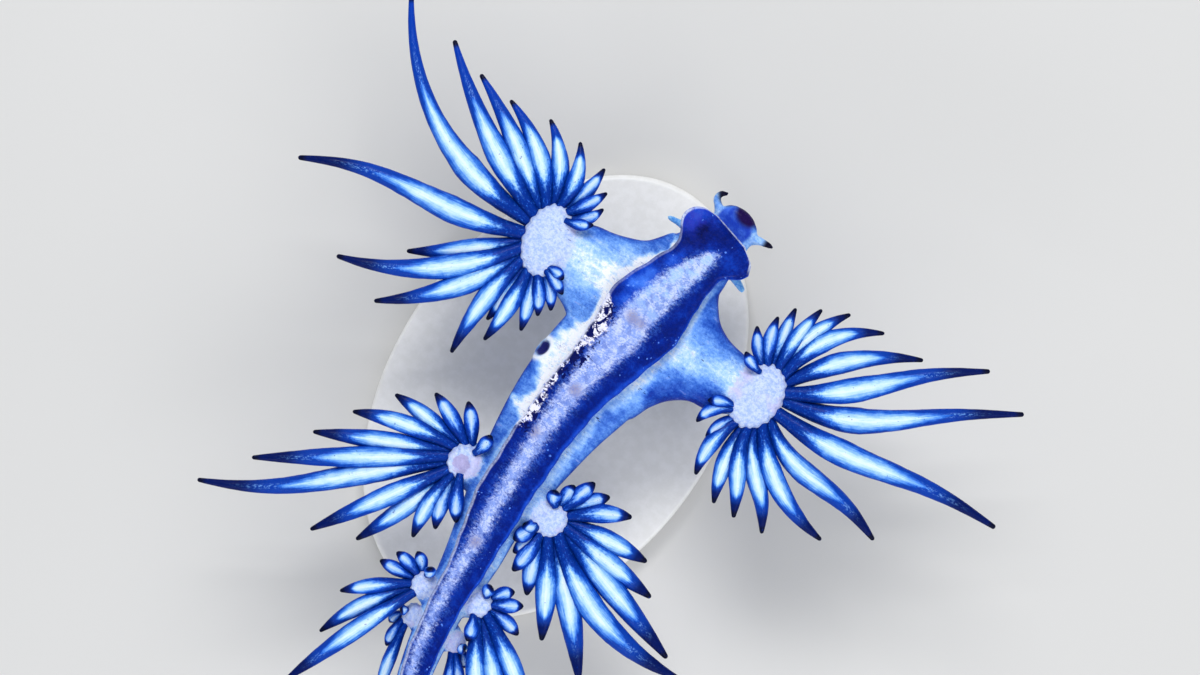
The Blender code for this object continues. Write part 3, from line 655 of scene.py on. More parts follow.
marks = {
    "restTone": 0.53,
    "slopeShade": -0.34,  # painted shade: darker where the skin turns down
    "rearTone": -0.1,
    "brightest": 0.84,
    "borderTone": 1.02,  # of the white border on the right
    "paleTone": (0.72, 0.08),  # of the pale border on the left, and how much more in front
    "flankTone": 0.34,
    "cheekTone": 0.74,
    "waver": 1.3,  # how uneven the outlines of the pale borders are
    "waverScale": 0.8,
    "whiteRight": (
        (-11, 0.1), (-4, 0.08), (-2.4, 0.12), (-1.6, 0.62), (-1, 0.26), (-0.2, 0.4), (0.6, 0.6),
        (1.4, 0.95), (3, 0.45), (4.5, 0.6), (6, 0.8), (7, 0.62), (8.2, 0.32), (9.4, 0.16),
    ),  # y and width in mm of the white border
    "paleLeft": (
        (-12, 0.4), (-8, 0.45), (-5, 0.5), (-2, 0.45), (0, 0.48), (1, 0.55), (3, 0.72), (4.2, 0.85),
        (5.2, 0.5), (6.5, 0.2), (9, 0.15),
    ),
    "crestsAndShadedHollows": (
        ((-4.3, 6), (-0.9, 6.6), 0.95, 0.3), ((-3.6, 8.1), (0.2, 9.2), 0.55, -0.16),
        ((-3, 3.8), (-2.2, 4.4), 0.6, -0.08), ((-1.9, 0), (-2.2, -3.5), 0.45, -0.18),
        ((3.3, 4.8), (8, 5.3), 0.9, 0.28), ((-3, 4.2), (-2, 5.4), 0.7, 0.24),
        ((3.9, 2.3), (6.6, 3.7), 0.62, -0.3), ((3.3, 8.9), (4.1, 7), 0.55, -0.22),
        ((4.8, 7), (6.6, 6.6), 0.45, -0.12), ((2.9, 0.6), (2.4, -3.4), 0.45, -0.14),
        ((4.6, 3.6), (6.6, 4.4), 0.5, -0.12),
    ),  # start, end, width and tone of pale crests, and of hollows darkened with painted shade
    "speckled": (
        ((-2.9, 4.4), (-2.3, 5.4), 0.55), ((-3.6, 6.2), (-2.8, 6.7), 0.7),
        ((4.6, 5.6), (5.4, 5.2), 0.6), ((3, 1.6), (4.4, 3), 0.6), ((2.3, -2), (2.4, 0.5), 0.4),
    ),  # start, end and width of the parts with more dark specks
}
# painted shade: the tone darkens where the skin turns down, away from the light above
tone = marks["restTone"] + marks["slopeShade"] * (1 - smooth(0.05, 0.9, upward))
tone += marks["rearTone"] * smooth(-2, -9, y)
# painted shade: the negative tones darken the hollows along these lines
for *line, amount in marks["crestsAndShadedHollows"]:
    tone += along(*line) * amount
tone = np.minimum(tone, marks["brightest"])
waver = [fractal.fractal(Vector(p) * marks["waverScale"], 0.7, 2, 3) for p in points]
waver = np.array(waver) * marks["waver"]
wide = np.interp(y, *zip(*marks["whiteRight"])) * np.clip(1 + waver, 0.25, 2)
white = onRight * (1 - smooth(0.4, 1.5, outside / wide)) * smooth(9.9, 9, y)
tone = pulled(tone, marks["borderTone"], white * (0.35 + 0.65 * smooth(-2.8, -1.8, y)))
wide = np.interp(y, *zip(*marks["paleLeft"])) * np.clip(1 + 0.6 * waver, 0.4, 2)
pale = (1 - onRight) * (1 - smooth(0.45, 1.4, outside / wide)) * smooth(9.4, 7.5, y)
paleTone, morePale = marks["paleTone"]
tone = pulled(tone, paleTone + morePale * smooth(0, 3, y), pale * smooth(0.15, 0.6, upward))
darker = onRight * 0.7 * smooth(-2.6, -4, y) * smooth(0.12, 0.3, outside)
tone = pulled(tone, marks["flankTone"], darker)

palmMask, granules = np.zeros(len(points)), np.zeros(len(points))
for fan in fans.values():
    centre, radii = palmCentre(fan), fan["palm"]
    d = inOval(points, centre, radii, fan["turn"])
    inward = (x - centre.x) * math.copysign(1, lineAt(middleX, centre.y) - centre.x) / radii[0]
    armSide = smooth(0.25, 0.85, inward)  # here the palm fades into the arm
    above = smooth(-0.35, 0.1, points[:, 2] - centre.z)
    palmMask = np.maximum(palmMask, (1 - smooth(0.86, 1.35, d)) * above)
    grainy = 1 - smooth(0.94 - 0.34 * armSide, 1.12 + 0.36 * armSide, d)
    granules = np.maximum(granules, grainy * above)
tone = pulled(tone, marks["brightest"], palmMask)

bulb = 1 - smooth(0.84, 1.04, np.hypot((ahead - 1.5) / 0.92, (leftOf + 0.12) / 1.02))
rim = 1 - smooth(0.6, 1.1, np.hypot((ahead - 2.3) / 0.62, (leftOf + 0.02) / 0.8))
onHead = smooth(0.7, 1, ahead) * (y > 10)
tone = pulled(tone, marks["cheekTone"], onHead * smooth(0.78, 1.05, np.abs(leftOf + 0.1)))
ends, rhinophores = np.zeros(len(points)), np.zeros(len(points))
for rows in skin["feelers"]:
    away = np.linalg.norm(points - np.array(headPoint(*rows[-1][:3])), axis=1)
    if rows[-1][0] > 0:  # the oral tentacles reach ahead
        ends = np.maximum(ends, 1 - smooth(0.42, 0.7, away))
    else:
        rhinophores = np.maximum(rhinophores, 1 - smooth(0.7, 1, away))
speckled = np.maximum.reduce([along(*zone) for zone in marks["speckled"]])
store(
    mesh,
    tone=np.clip(tone, 0, 1.1),
    granules=granules,
    under=smooth(-0.28, -0.7, upward),
    bulb=bulb * smooth(-0.2, 0.1, h) * (y > 10),
    rim=rim * smooth(-0.55, -0.2, h),
    ends=ends,
    rhinophore=rhinophores,
    speckled=np.clip(speckled + 0.15 * palmMask, 0, 1),
    pit=(1 - smooth(0.72, 1, pitDistance)) * pitTop,
    pitRim=bell(pitDistance - 1.2, 0.25) * pitTop,
    hollow=(1 - smooth(0.7, 1.1, hollowDistance)) * hollowTop,
)

fleshTones = (
    (0, (6, 34, 140)), (0.2, (22, 66, 174)), (0.4, (60, 112, 210)), (0.6, (112, 164, 240)),
    (0.8, (172, 210, 255)), (0.95, (230, 242, 255)), (1, (246, 250, 255)),
)
c = palette(
    bulb=(38, 74, 196), bulbPale=(70, 116, 226), rim=(28, 8, 72), ends=(8, 6, 36),
    pit=(30, 34, 104), speck=(24, 46, 116), vein=(40, 74, 168), palm=(166, 190, 244),
    palmPale=(206, 220, 252), palmPink=(206, 200, 240), hollow=(142, 140, 190),
    silver=(124, 142, 180), silverDark=(82, 102, 150), rhinophore=(84, 156, 236),
    hornPale=(140, 196, 248), white=(236, 242, 255),
)
flesh, tree, shader, place = newMaterial("flank_flesh", **wet)
creases = stretched(place, (0.8, 2.6, 1), 25)
cloud, grains = noise(place, 0.7, 4, 0.6), noise(place, 7, 3, 0.75)
folds, fineGrain = noise(creases, 1.4, 3, 0.6), noise(place, 5.5, 4, 0.8)
toned = jitter(jitter(mask("tone"), cloud, 0.55), grains, 0.5)
palmTint = layered(
    c["palm"],
    (remap(fineGrain, 0.38, 0.6), c["palmPale"]),
    (times(remap(cloud, 0.5, 0.66), 0.7), c["palmPink"]),
)
specks = stamp(flecks, creases, scale=2.6, size=0.26)
bulbTint = blend(remap(noise(place, 2), 0.4, 0.7), c["bulb"], c["bulbPale"])
colour = layered(
    ramp(jitter(toned, folds, 0.45, clamp=True), fleshTones),
    (times(stamp(veins, creases, scale=1.6, width=0.022, spread=0.47), 0.55), c["vein"]),
    (remap(jitter(mask("granules"), fineGrain, 1.6), 0.3, 0.7), palmTint),
    (remap(jitter(mask("hollow"), folds, 2.2), 0.25, 0.85),
     blend(fineGrain, c["hollow"], c["palmPink"])),
    (times(specks, addTimes(0.16, mask("speckled"), 0.8)), c["speck"]),
    (mask("bulb"), bulbTint),
    (mask("rhinophore"), blend(remap(grains, 0.36, 0.62), c["rhinophore"], c["hornPale"])),
    (times(mask("rim"), remap(cloud, 0.36, 0.5, (0.75, 1))), c["rim"]),
    (mask("ends"), c["ends"]),
    (mask("pitRim"), c["white"]),
    (mask("pit"), c["pit"]),
    (mask("under"), blend(remap(cloud, 0.4, 0.62), c["silverDark"], c["silver"])),
)
normal = finishWet(colour, scale=4.5, height=0.6, gloss=0.42)
beads, strength = cells(place, 5.5)["Distance"], times(mask("granules"), 0.7)
feed(shader.inputs["Normal"], bumped(beads, 0.00009, strength, invert=True, Normal=normal))
mesh.materials.clear()
mesh.materials.append(flesh)
mesh.shade_smooth()
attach(bodySkin, "root")
fleshNodes = ["head", "torso_front", "torso_middle", "torso_rear", "tail"]
for part in ("oral_tentacle", "rhinophore", "arm"):
    fleshNodes += [part + "_left", part + "_right"]
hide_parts(*fleshNodes)
print("body skin finished")

# the sole of the foot
sole = {
    "front": 11.5,  # y where its rounded front edge begins
    "step": 0.07,
    "points": 96,
    "sink": 0.22,  # how far its underside lies in the flanks
    "lip": 0.06,
    "wobble": 0.045,
    "frontSqueeze": (10.3, 0.8),  # past this y the front lobes reach less far ahead
    "restTone": 0.24,
    "marginTone": 0.24,  # how much lighter the margin on the left is
    "flankTone": 0.1,  # how much lighter the front of the right half is
    "edges": (0.9, 0.5, 0.25),  # white edge, partly painted highlight, on the lobes, the rear right, the right elsewhere
    "stripe": (
        (10.35, 0.42, -0.4), (10, 0.36, 0.05), (9.6, 0.24, 0.36), (9, 0.1, 0.48), (8, -0.02, 0.66),
        (7, -0.1, 0.76), (6, -0.18, 0.84), (5, -0.22, 0.84), (4, -0.12, 0.86), (3, -0.22, 0.78),
        (2, -0.22, 0.68), (1, -0.12, 0.56), (0, -0.2, 0.54), (-1, -0.12, 0.48), (-2, -0.12, 0.46),
        (-4, -0.08, 0.38), (-6, -0.08, 0.35), (-8, -0.17, 0.34), (-10, -0.34, 0.31),
        (-13, -0.32, 0.25), (-18, -0.16, 0.17), (-24, -0.03, 0.05),
    ),  # y, middle of the pale stripe across the foot, its half width
    "border": (
        (-3.1, -0.3), (-2.6, 0.2), (-1.9, 0.52), (-1.2, 0.46), (-0.4, 0.34), (0.4, 0.22),
        (1.2, 0.14), (2, 0.24), (2.6, 0.62), (3.5, 0.8), (4.4, 0.76), (5, 0.46), (5.6, -0.3),
    ),  # y and width of the white border on the animal's right
    "paleMargin": (
        (-14, 0.08), (-8, 0.16), (-4, 0.2), (-1, 0.24), (1.5, 0.28), (3.2, 0.24), (4.6, 0.08),
        (12, 0.06),
    ),  # y and width of the lighter margin on the animal's left
    "ink": (
        (-0.5, 4.4, 0.26), (-0.24, 4.68, 0.14), (-0.46, 3.38, 0.21), (-0.8, 3.05, 0.13),
        (-0.16, 3.1, 0.11), (-0.66, 2.55, 0.13), (-0.62, 1.62, 0.34), (-0.22, 1.85, 0.26),
        (-1, 0.98, 0.26), (-0.6, 0.82, 0.3), (-0.78, 0.22, 0.2), (-0.98, -0.62, 0.12),
        (-0.72, -1.02, 0.11), (-0.95, -1.45, 0.1), (-0.66, -1.78, 0.14), (-0.46, -2.35, 0.15),
    ),  # x, y and radius of dark curls on that border
    "patches": (
        (0.75, 11.1, 0.75, 0.36), (1.35, 10.75, 0.34, -0.3), (3.25, 10.35, 0.45, 0.12),
        (3.9, 9.95, 0.3, 0.08), (1.6, 10.1, 0.55, -0.14), (2.9, 10.8, 0.5, -0.12),
        (0.95, 8.45, 0.35, 0.2), (0.35, 7.45, 0.45, 0.34), (-0.05, 6.55, 0.45, 0.38),
        (0.55, 6.7, 0.35, 0.34), (0.15, 5.6, 0.35, 0.26), (0.3, 4.9, 0.25, 0.22),
        (2.4, 9.9, 0.25, 0.3),
    ),  # x, y, size and tone of brighter and darker blue patches
    "stains": (
        (0.95, 5.05, 0.3), (1.45, 4.95, 0.25), (0.65, 0.45, 0.3), (0.05, -2.4, 0.3),
        (0.75, -8.6, 0.28),
    ),  # x, y and radius of greyish stains on the stripe
    "violet": (0.7, 10.9, 0.8),  # x, y and size of the violet patch on the front lobe
}
profile = []
for k in range(sole["points"]):
    a = 2 * math.pi * (k + 0.5) / sole["points"]
    profile.append((softPower(math.cos(a), 0.66), softPower(math.sin(a), 0.5)))
shape = bmesh.new()
rings, info = [], []
ys = [sole["front"] + 0.1 * math.sin(math.radians(a)) for a in (80, 60, 40, 20)]
ys += list(np.arange(sole["front"], tailEnd + 0.05, -sole["step"]))
squeezeFrom, squeeze = sole["frontSqueeze"]
for y in ys:
    over = max(y - sole["front"], 0) / 0.1
    half = lineAt(footHalf, y) - 0.16 * over**2
    at = y if y < squeezeFrom else squeezeFrom + (y - squeezeFrom) * squeeze
    full = padThickness * tailShare(y)
    thick = padThickness * math.sqrt(max(1 - over**2, 0.02)) * tailShare(y)
    thick *= 0.55 + 0.45 * float(smooth(11.5, 11.1, y))
    mid = lineAt(flankHeight, at) + padGap * tailShare(y) + full / 2
    centre, across = middlePoint(at), acrossAt(at)
    ring = []
    for a, rise in profile:
        left = a > 0
        wave = 0.6 * math.sin(2.1 * y + 1.5 + left * 2.2)
        wave += 0.4 * math.sin(5.3 * y + 3.4 + left * 1.7)
        wide = half + sole["wobble"] * wave * min(half, 1) * (over == 0)
        height = mid + rise * thick / 2 - (sole["sink"] if rise < 0 else 0)
        if rise > 0:
            height += sole["lip"] * (bell(abs(a) - 0.92, 0.06) - 1) * tailShare(y)
        ring.append(centre + across * a * wide + up * height)
        margin = min((1 - abs(a)) * wide, (ys[0] - y) * 1.8)
        info.append((ring[-1].x, ring[-1].y, a * wide, margin))
    rings.append(ring)
addLoft(shape, rings)
footSole = shapeDone(shape, "foot_sole")
mesh = footSole.data
footX, footY, offMiddle, marginDistance = np.array(info).T


def rowsAt(name, column=1):
    return np.interp(footY, *zip(*sorted((row[0], row[column]) for row in sole[name])))


def nearest(spots):  # depth in mm inside the nearest of some round spots
    return np.max([radius - np.hypot(footX - sx, footY - sy) for sx, sy, radius in spots], axis=0)


def patch(sx, sy, size):
    return bell(np.hypot(footX - sx, footY - sy), size)


onRight = (offMiddle < 0).astype(float)
onMargin = 1 - smooth(0.5, 1.4, marginDistance / rowsAt("paleMargin"))
inFront = smooth(5, 6, footY) * smooth(9.6, 8.8, footY)
tone = sole["restTone"] + sole["marginTone"] * (1 - onRight) * onMargin
tone += sole["flankTone"] * onRight * inFront * smooth(0.25, 0.6, marginDistance)
for *spot, amount in sole["patches"]:
    tone += amount * patch(*spot)
onLobes, onRear, elsewhere = sole["edges"]
edges = smooth(9.9, 10.5, footY) * (onLobes - 0.35 * smooth(10.9, 11.2, footY))
edges = np.maximum(edges, onRear * onRight * smooth(-2.4, -3.2, footY))
store(
    mesh,
    tone=tone,
    stripe=rowsAt("stripe", 2) - np.abs(offMiddle - rowsAt("stripe")),
    along=footY,
    across=offMiddle,
    margin=marginDistance,
    border=np.where(onRight > 0, rowsAt("border") - marginDistance, -1),
    ink=nearest(sole["ink"]),
    stain=smooth(-0.25, 0.2, nearest(sole["stains"])),
    frontal=smooth(3.5, 8.5, footY),
    edge=np.maximum(edges, elsewhere * onRight) * smooth(-26, -22, footY),
    violet=0.8 * patch(*sole["violet"]),
)

soleTones = (
    (0, (0, 8, 72)), (0.25, (0, 30, 130)), (0.5, (14, 66, 190)), (0.75, (60, 118, 230)),
    (1, (128, 178, 250)),
)
c = palette(
    haze=(66, 116, 222), stripeDeep=(112, 136, 210), stripe=(140, 166, 234),
    stripeFront=(168, 202, 252), bright=(204, 216, 252), stain=(150, 146, 178),
    violet=(48, 50, 172), ink=(2, 12, 84), curlShade=(122, 140, 206), border=(232, 232, 252),
    edge=(222, 232, 255), dot=(96, 146, 244), worn=(60, 118, 230),
)
soleSkin, tree, shader, place = newMaterial("foot_flesh", **wet)
flat = joined(X=mask("across"), Y=times(mask("along"), 1.5))
cloud, grains = noise(place, 1.2, 4, 0.65), noise(place, 6, 3, 0.75)
powder = noise(flat, 8, 3, 0.8)
toned = jitter(jitter(mask("tone"), cloud, 0.6), grains, 0.34, clamp=True)
haze = calc("ADD", mask("stripe"), 0.16)
haze = stamp(ragged, flat, depth=haze, reach=0.8, soft=0.35, grain=2.6)
pale = minus(mask("stripe"), 0.04)
pale = stamp(ragged, flat, depth=pale, reach=0.62, soft=0.22, grain=6)
whiter = addTimes(times(powder, 0.45), noise(place, 2.2, 4, 0.7), 0.55)
stripeTint = layered(
    c["stripe"],
    (mask("frontal"), c["stripeFront"]),
    (times(remap(noise(place, 1.7, 3, 0.6), 0.44, 0.6), 0.75), c["stripeDeep"]),
    (remap(whiter, 0.455, 0.585), c["bright"]),
    (times(mask("stain"), remap(powder, 0.3, 0.6, (0.35, 0.95))), c["stain"]),
    (times(remap(noise(place, 5, 3, 0.8), 0.58, 0.68), 0.45), c["worn"]),
)
border = stamp(ragged, place, depth=mask("border"), reach=0.85, soft=0.07, grain=2.4)
borderTint = blend(remap(noise(place, 3.4, 3, 0.7), 0.56, 0.64), c["border"], c["curlShade"])
inked = remap(jitter(mask("ink"), noise(place, 1.7, 2.5, 0.5, 2.4), 2.5), -0.11, -0.03)
squiggle = times(stamp(veins, place, scale=1.5, width=0.036, spread=0.36), border)
inked = calc("MAXIMUM", inked, squiggle)
# the foot's pale rim line, partly painted highlight, widened over the lip's side wall to paint
# light where that wall lies in shade
rimLineAndHighlight = remap(calc("ABSOLUTE", minus(mask("margin"), 0.05)), 0.13, 0.05)
rimLineAndHighlight = times(rimLineAndHighlight, remap(grains, 0.36, 0.58, (0.45, 1)), mask("edge"))
colour = layered(
    ramp(toned, soleTones),
    (times(mask("violet"), remap(cloud, 0.38, 0.6)), c["violet"]),
    (times(stamp(flecks, place, scale=4.5, size=0.26), 0.8), c["dot"]),
    (times(haze, remap(powder, 0.4, 0.62), 0.75), c["haze"]),
    (times(pale, 0.96), stripeTint),
    (border, borderTint),
    (times(inked, remap(mask("margin"), 0.02, 0.12)), c["ink"]),  # none on the rim's side
    # painted highlight along the rim, and painted light over its shaded side wall
    (rimLineAndHighlight, c["edge"]),
)
finishWet(colour, scale=5, height=0.55, gloss=0.36)
mesh.materials.append(soleSkin)
mesh.shade_smooth()
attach(footSole, "root")
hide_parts("foot_front", "foot_middle", "foot_rear")
print("foot sole:", len(mesh.polygons), "faces")

# cerata
fingers = {
    "rootDepth": 0.74,  # how far out on the palm a finger starts
    "rootShare": 0.5,  # widths as a share of the widest part
    "tipShare": 0.17,
    "slimming": 40,  # makes the long ones slimmer, mm
    "belly": (0.62, 0.021),  # where the widest part is, and its shift for each mm of reach
    "taper": (3, -0.1),
    "tier": 0.1,  # neighbours lie this much above and below, mm
    "endRise": 0.6,  # the ends of a fan lie higher
    "endReach": 2.2,
    "sway": 0.035,
    "arch": 0.02,
    "tipWidth": 0.14,
    "ringSpacing": 0.13,
    "seed": 7,
}
sweepInputs = {
    "Sides": 20,
    "Flatness": 0.78,  # height of a finger as a share of its width
    "Least Thickness": 0.46 * mm,
    "Lump Height": 0.05,  # as a share of the finger's thickness
    "Lump Scale": 1.4,
    "Seed": 0,
}


def isFore(fan):  # whether each finger belongs to the front half of its fan
    if fan["split"] is None:
        return [True] * len(fan["cerata"])
    turning = 1 if fan["roots"][-1] > fan["roots"][0] else -1
    return [turning * (row[0] - fan["split"]) < 0 for row in fan["cerata"]]


def rootBearings(fan):
    ahead = sum(isFore(fan))
    behind = len(fan["cerata"]) - ahead
    return spread(*fan["roots"][:2], ahead) + spread(*(*fan["roots"], 0, 0)[2:4], behind)


def cerasWidth(share, reach, fullness):  # narrow root, full belly, long taper
    belly = fingers["belly"][0] - fingers["belly"][1] * reach
    if share < belly:
        rise = share / belly
        return fingers["rootShare"] + (1 - fingers["rootShare"]) * rise * rise * (3 - 2 * rise)
    fall = (share - belly) / (1 - belly)
    taper = fingers["taper"][0] * belly + fingers["taper"][1] + fullness
    return fingers["tipShare"] + (1 - fingers["tipShare"]) * (1 - fall**taper)


def cerasPath(fan, index, draw):  # points in mm and their radii
    f = fingers
    bearing, reach, bow, swerve = (*fan["cerata"][index], 0, 0)[:4]
    end = abs(2 * index / (len(fan["cerata"]) - 1) - 1) ** 4 * min(f["endReach"] / reach, 1)
    rise = f["endRise"] * fan["palm"][2] * end
    lift = up * (rise + f["tier"] * (-1) ** index)
    climb = rise + (fan["slope"] + draw.uniform(-f["sway"], f["sway"])) * reach
    a = math.radians(rootBearings(fan)[index] - fan["turn"])
    root = palmCentre(fan) + lift + onOval(fan["palm"], fan["turn"], a) * f["rootDepth"]
    tip = hubOf(fan) + level(bearing) * reach + lift + up * climb
    left = up.cross(tip - root).normalized()
    least, growth = fan["width"]
    full = least + growth * reach * (1 - reach / f["slimming"])
    fullness = fan["fullness"][0 if isFore(fan)[index] else 1]
    length = (tip - root).length
    endRadius = max(full * f["tipShare"], f["tipWidth"]) / 2
    body = spread(0, 1 - endRadius / length, max(int(length / f["ringSpacing"]), 14))
    cap = [(1 - endRadius / length * (1 - math.sin(b)), math.cos(b)) for b in spread(0.3, 1.45, 5)]
    path = []
    for t, narrowing in [(t, 1) for t in body] + cap:  # the cap rounds the tip
        arc = 4 * t * (1 - t)
        aside = left * (bow * arc + swerve * math.sin(2 * math.pi * t))
        radius = max(full * cerasWidth(t, reach, fullness), f["tipWidth"]) / 2 * narrowing
        path.append((root.lerp(tip, t) + aside + up * f["arch"] * reach * arc, radius))
    return path


def fanTree(material):  # sweeps each path into a flattened finger, noting each point's place on it
    tree = bpy.data.node_groups.new("cerata sweep", "GeometryNodeTree")
    for way in ("INPUT", "OUTPUT"):
        tree.interface.new_socket("Geometry", in_out=way, socket_type="NodeSocketGeometry")
    for label, value in sweepInputs.items():
        kind = "NodeSocketInt" if isinstance(value, int) else "NodeSocketFloat"
        tree.interface.new_socket(label, in_out="INPUT", socket_type=kind)
    given = tree.nodes.new("NodeGroupInput").outputs

    def field(kind, output=0):  # a value read from the geometry
        return node(tree, kind).outputs[output]

    def captured(geometry, domain, **values):  # keeps values from before the sweep
        made = node(tree, "GeometryNodeCaptureAttribute", domain=domain, Geometry=geometry)
        for label, source in values.items():
            made.capture_items.new("VECTOR" if source.type == "VECTOR" else "FLOAT", label)
            feed(made.inputs[label], source)
        return made.outputs

    chance = node(tree, "FunctionNodeRandomValue", data_type="FLOAT", Seed=given["Seed"])
    radius, position = field("GeometryNodeInputRadius"), field("GeometryNodeInputPosition")
    length, factor = field("GeometryNodeSplineLength"), field("GeometryNodeSplineParameter")
    spline = captured(given["Geometry"], "CURVE", length=length, chance=chance.outputs[1])
    point = captured(spline["Geometry"], "POINT", share=factor, radius=radius, centre=position,
                     run=field("GeometryNodeInputTangent"))
    upright = node(tree, "GeometryNodeSetCurveNormal", mode="Z_UP", Curve=point["Geometry"])
    ring = node(tree, "GeometryNodeCurvePrimitiveCircle", Radius=1, Resolution=given["Sides"])
    swept = node(tree, "GeometryNodeCurveToMesh", Fill_Caps=True, Curve=upright.outputs[0],
                 Profile_Curve=ring.outputs[0], Scale=radius)
    offset = vectors("SUBTRACT", position, point["centre"])
    height = node(tree, "ShaderNodeSeparateXYZ", Vector=offset).outputs["Z"]
    kept = calc("MAXIMUM", point["radius"], 1e-6)
    sideways = vectors("CROSS_PRODUCT", point["run"], (0, 0, 1))
    flat = calc("DIVIDE", given["Least Thickness"], times(kept, 2))
    flat = calc("MAXIMUM", calc("MINIMUM", flat, 1), given["Flatness"])
    facts = {
        "share": point["share"],
        "reach": times(spline["length"], 1000),
        "chance": spline["chance"],
        "rise": calc("DIVIDE", height, kept),
        "lateral": calc("DIVIDE", vectors("DOT_PRODUCT", offset, sideways), kept),
    }
    geometry = swept.outputs["Mesh"]
    for label, value in facts.items():
        geometry = node(tree, "GeometryNodeStoreNamedAttribute", Geometry=geometry, Name=label,
                        Value=value).outputs["Geometry"]
    squeeze = times(height, minus(flat, 1))
    scaled = vectors("SCALE", position, Scale=times(given["Lump Scale"], 1000))
    lumps = minus(noise(scaled, 1, 2, 0.5), 0.5)
    swell = times(lumps, given["Lump Height"], times(kept, 2.4))
    outward = field("GeometryNodeInputNormal")
    for shift in (joined(Z=squeeze), vectors("SCALE", outward, Scale=swell)):
        geometry = node(tree, "GeometryNodeSetPosition", Geometry=geometry,
                        Offset=shift).outputs[0]
    rounded = node(tree, "GeometryNodeSetShadeSmooth", Geometry=geometry).outputs[0]
    real = node(tree, "GeometryNodeRealizeInstances", Geometry=rounded).outputs[0]
    done = node(tree, "GeometryNodeSetMaterial", Geometry=real, Material=material).outputs[0]
    feed(tree.nodes.new("NodeGroupOutput").inputs["Geometry"], done)
    return tree


acrossTones = (
    (0, (222, 240, 255)), (0.28, (188, 224, 253)), (0.5, (130, 184, 246)), (0.7, (66, 130, 224)),
    (0.88, (26, 90, 200)), (1, (10, 62, 168)),
)  # from the middle of a finger to its edge
c = palette(
    root=(0, 46, 142), rootPale=(44, 112, 222), navy=(0, 20, 88), black=(3, 8, 40),
    lilac=(206, 212, 250), silver=(120, 142, 188), tipBlue=(4, 58, 168), fleck=(122, 178, 244),
)
cerasSkin, tree, shader, place = newMaterial("ceras_flesh", **wet)
share, reach, lateral = mask("share"), mask("reach"), mask("lateral")
rise, chance = mask("rise"), mask("chance")
aside = calc("ABSOLUTE", lateral)
longOne = remap(reach, 2.5, 10)
down = times(share, reach)  # mm from the root
toTip = minus(reach, down)


def fingerPlace(acrossScale, downScale):  # noise coordinates that run along each finger
    return joined(X=times(lateral, acrossScale), Y=times(down, downScale), Z=times(chance, 40))


grainPlace, streakPlace = fingerPlace(1.3, 1.5), fingerPlace(4, 0.5)
start = addTimes(addTimes(0.34, chance, 0.08), longOne, -0.21)
stop = addTimes(addTimes(0.92, chance, 0.06), longOne, -0.27)
toward = remap(share, minus(stop, 0.22), calc("ADD", stop, 0.1))  # 1 past the pale part
fromStart = times(minus(share, start), calc("MAXIMUM", reach, 2.5))
fromStart = addTimes(fromStart, aside, -0.45)
pale = stamp(ragged, grainPlace, depth=fromStart, reach=0.85, soft=0.95, grain=3.8)
across = addTimes(times(aside, addTimes(0.94, longOne, 0.12)), toward, 0.95)
across = addTimes(across, minus(1, pale), 0.85)
across = jitter(across, noise(grainPlace, 1.4, 3, 0.6), 0.4)
across = jitter(across, noise(streakPlace, 2.2, 4, 0.65), 0.8, clamp=True)
deepFrom = times(reach, addTimes(0.22, longOne, 0.13))
deepening = remap(toTip, deepFrom, times(deepFrom, 0.45))
across = addTimes(across, deepening, 0.8, clamp=True)
shortOne = times(remap(reach, 4.5, 2.5), 0.6)
acrossTint = blend(shortOne, ramp(across, acrossTones), c["lilac"], "MULTIPLY")
rootMix = layered(
    c["root"],
    (remap(noise(grainPlace, 3.2, 4, 0.75), 0.55, 0.68), c["rootPale"]),
    (times(remap(aside, 0.35, 0.95), 0.6), c["navy"]),
)
where = node(tree, "ShaderNodeSeparateXYZ", Vector=place).outputs
bluer = times(remap(where["Y"], 6, 8.5), remap(where["X"], -5, -8))  # tips at the front right
trail = times(remap(aside, 0.5, 0.1), remap(noise(grainPlace, 4, 3, 0.8), 0.5, 0.62))
trail = times(trail, remap(toTip, times(reach, 0.1), times(reach, 0.3)), times(toward, longOne))
under = times(remap(rise, -0.55, -0.95), remap(toTip, 0.5, 2))
blackFrom = calc("MINIMUM", times(reach, 0.1), 0.52)
colour = layered(
    rootMix,
    (times(remap(pale, 0, 0.55), remap(rise, -0.85, -0.45)), acrossTint),
    (times(deepening, deepening), blend(bluer, c["navy"], c["tipBlue"])),
    (times(trail, 0.8), c["fleck"]),  # pale flecks along the crest towards the tip
    (times(under, 0.75), c["silver"]),
    (remap(toTip, blackFrom, times(blackFrom, 0.4)), c["black"]),
    (times(stamp(flecks, place, scale=5, size=0.22), 0.55), c["root"]),
)
finishWet(colour, scale=5, height=0.5, gloss=0.4)

sweep = fanTree(cerasSkin)
draw = random.Random(fingers["seed"])
for number, (name, fan) in enumerate(fans.items()):
    curve = bpy.data.curves.new("paths", "CURVE")
    curve.dimensions = "3D"
    for index in range(len(fan["cerata"])):
        path = cerasPath(fan, index, draw)
        spline = curve.splines.new("POLY")
        spline.points.add(len(path) - 1)
        for point, (at, radius) in zip(spline.points, path):
            point.co = (*(at * mm), 1)
            point.radius = radius * mm
    paths = newObject("paths", curve)
    step = paths.modifiers.new("sweep", "NODES")
    step.node_group = sweep
    sweepInputs["Seed"] = number
    for item in sweep.interface.items_tree:
        if item.name in sweepInputs:
            step[item.identifier] = sweepInputs[item.name]
    mesh = plainMesh(paths)
    bpy.data.objects.remove(paths, do_unlink=True)
    shape = bmesh.new()
    shape.from_mesh(mesh)
    piece = shapeDone(shape, "cerata_fan_" + name)
    piece.data.materials.append(cerasSkin)
    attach(piece, "root")
    halves = [f"cerata_{name}{half}" for half in (("_fore", "_aft") if fan["split"] else ("",))]
    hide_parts(*halves)
    print("fan", name, len(mesh.polygons), "faces")

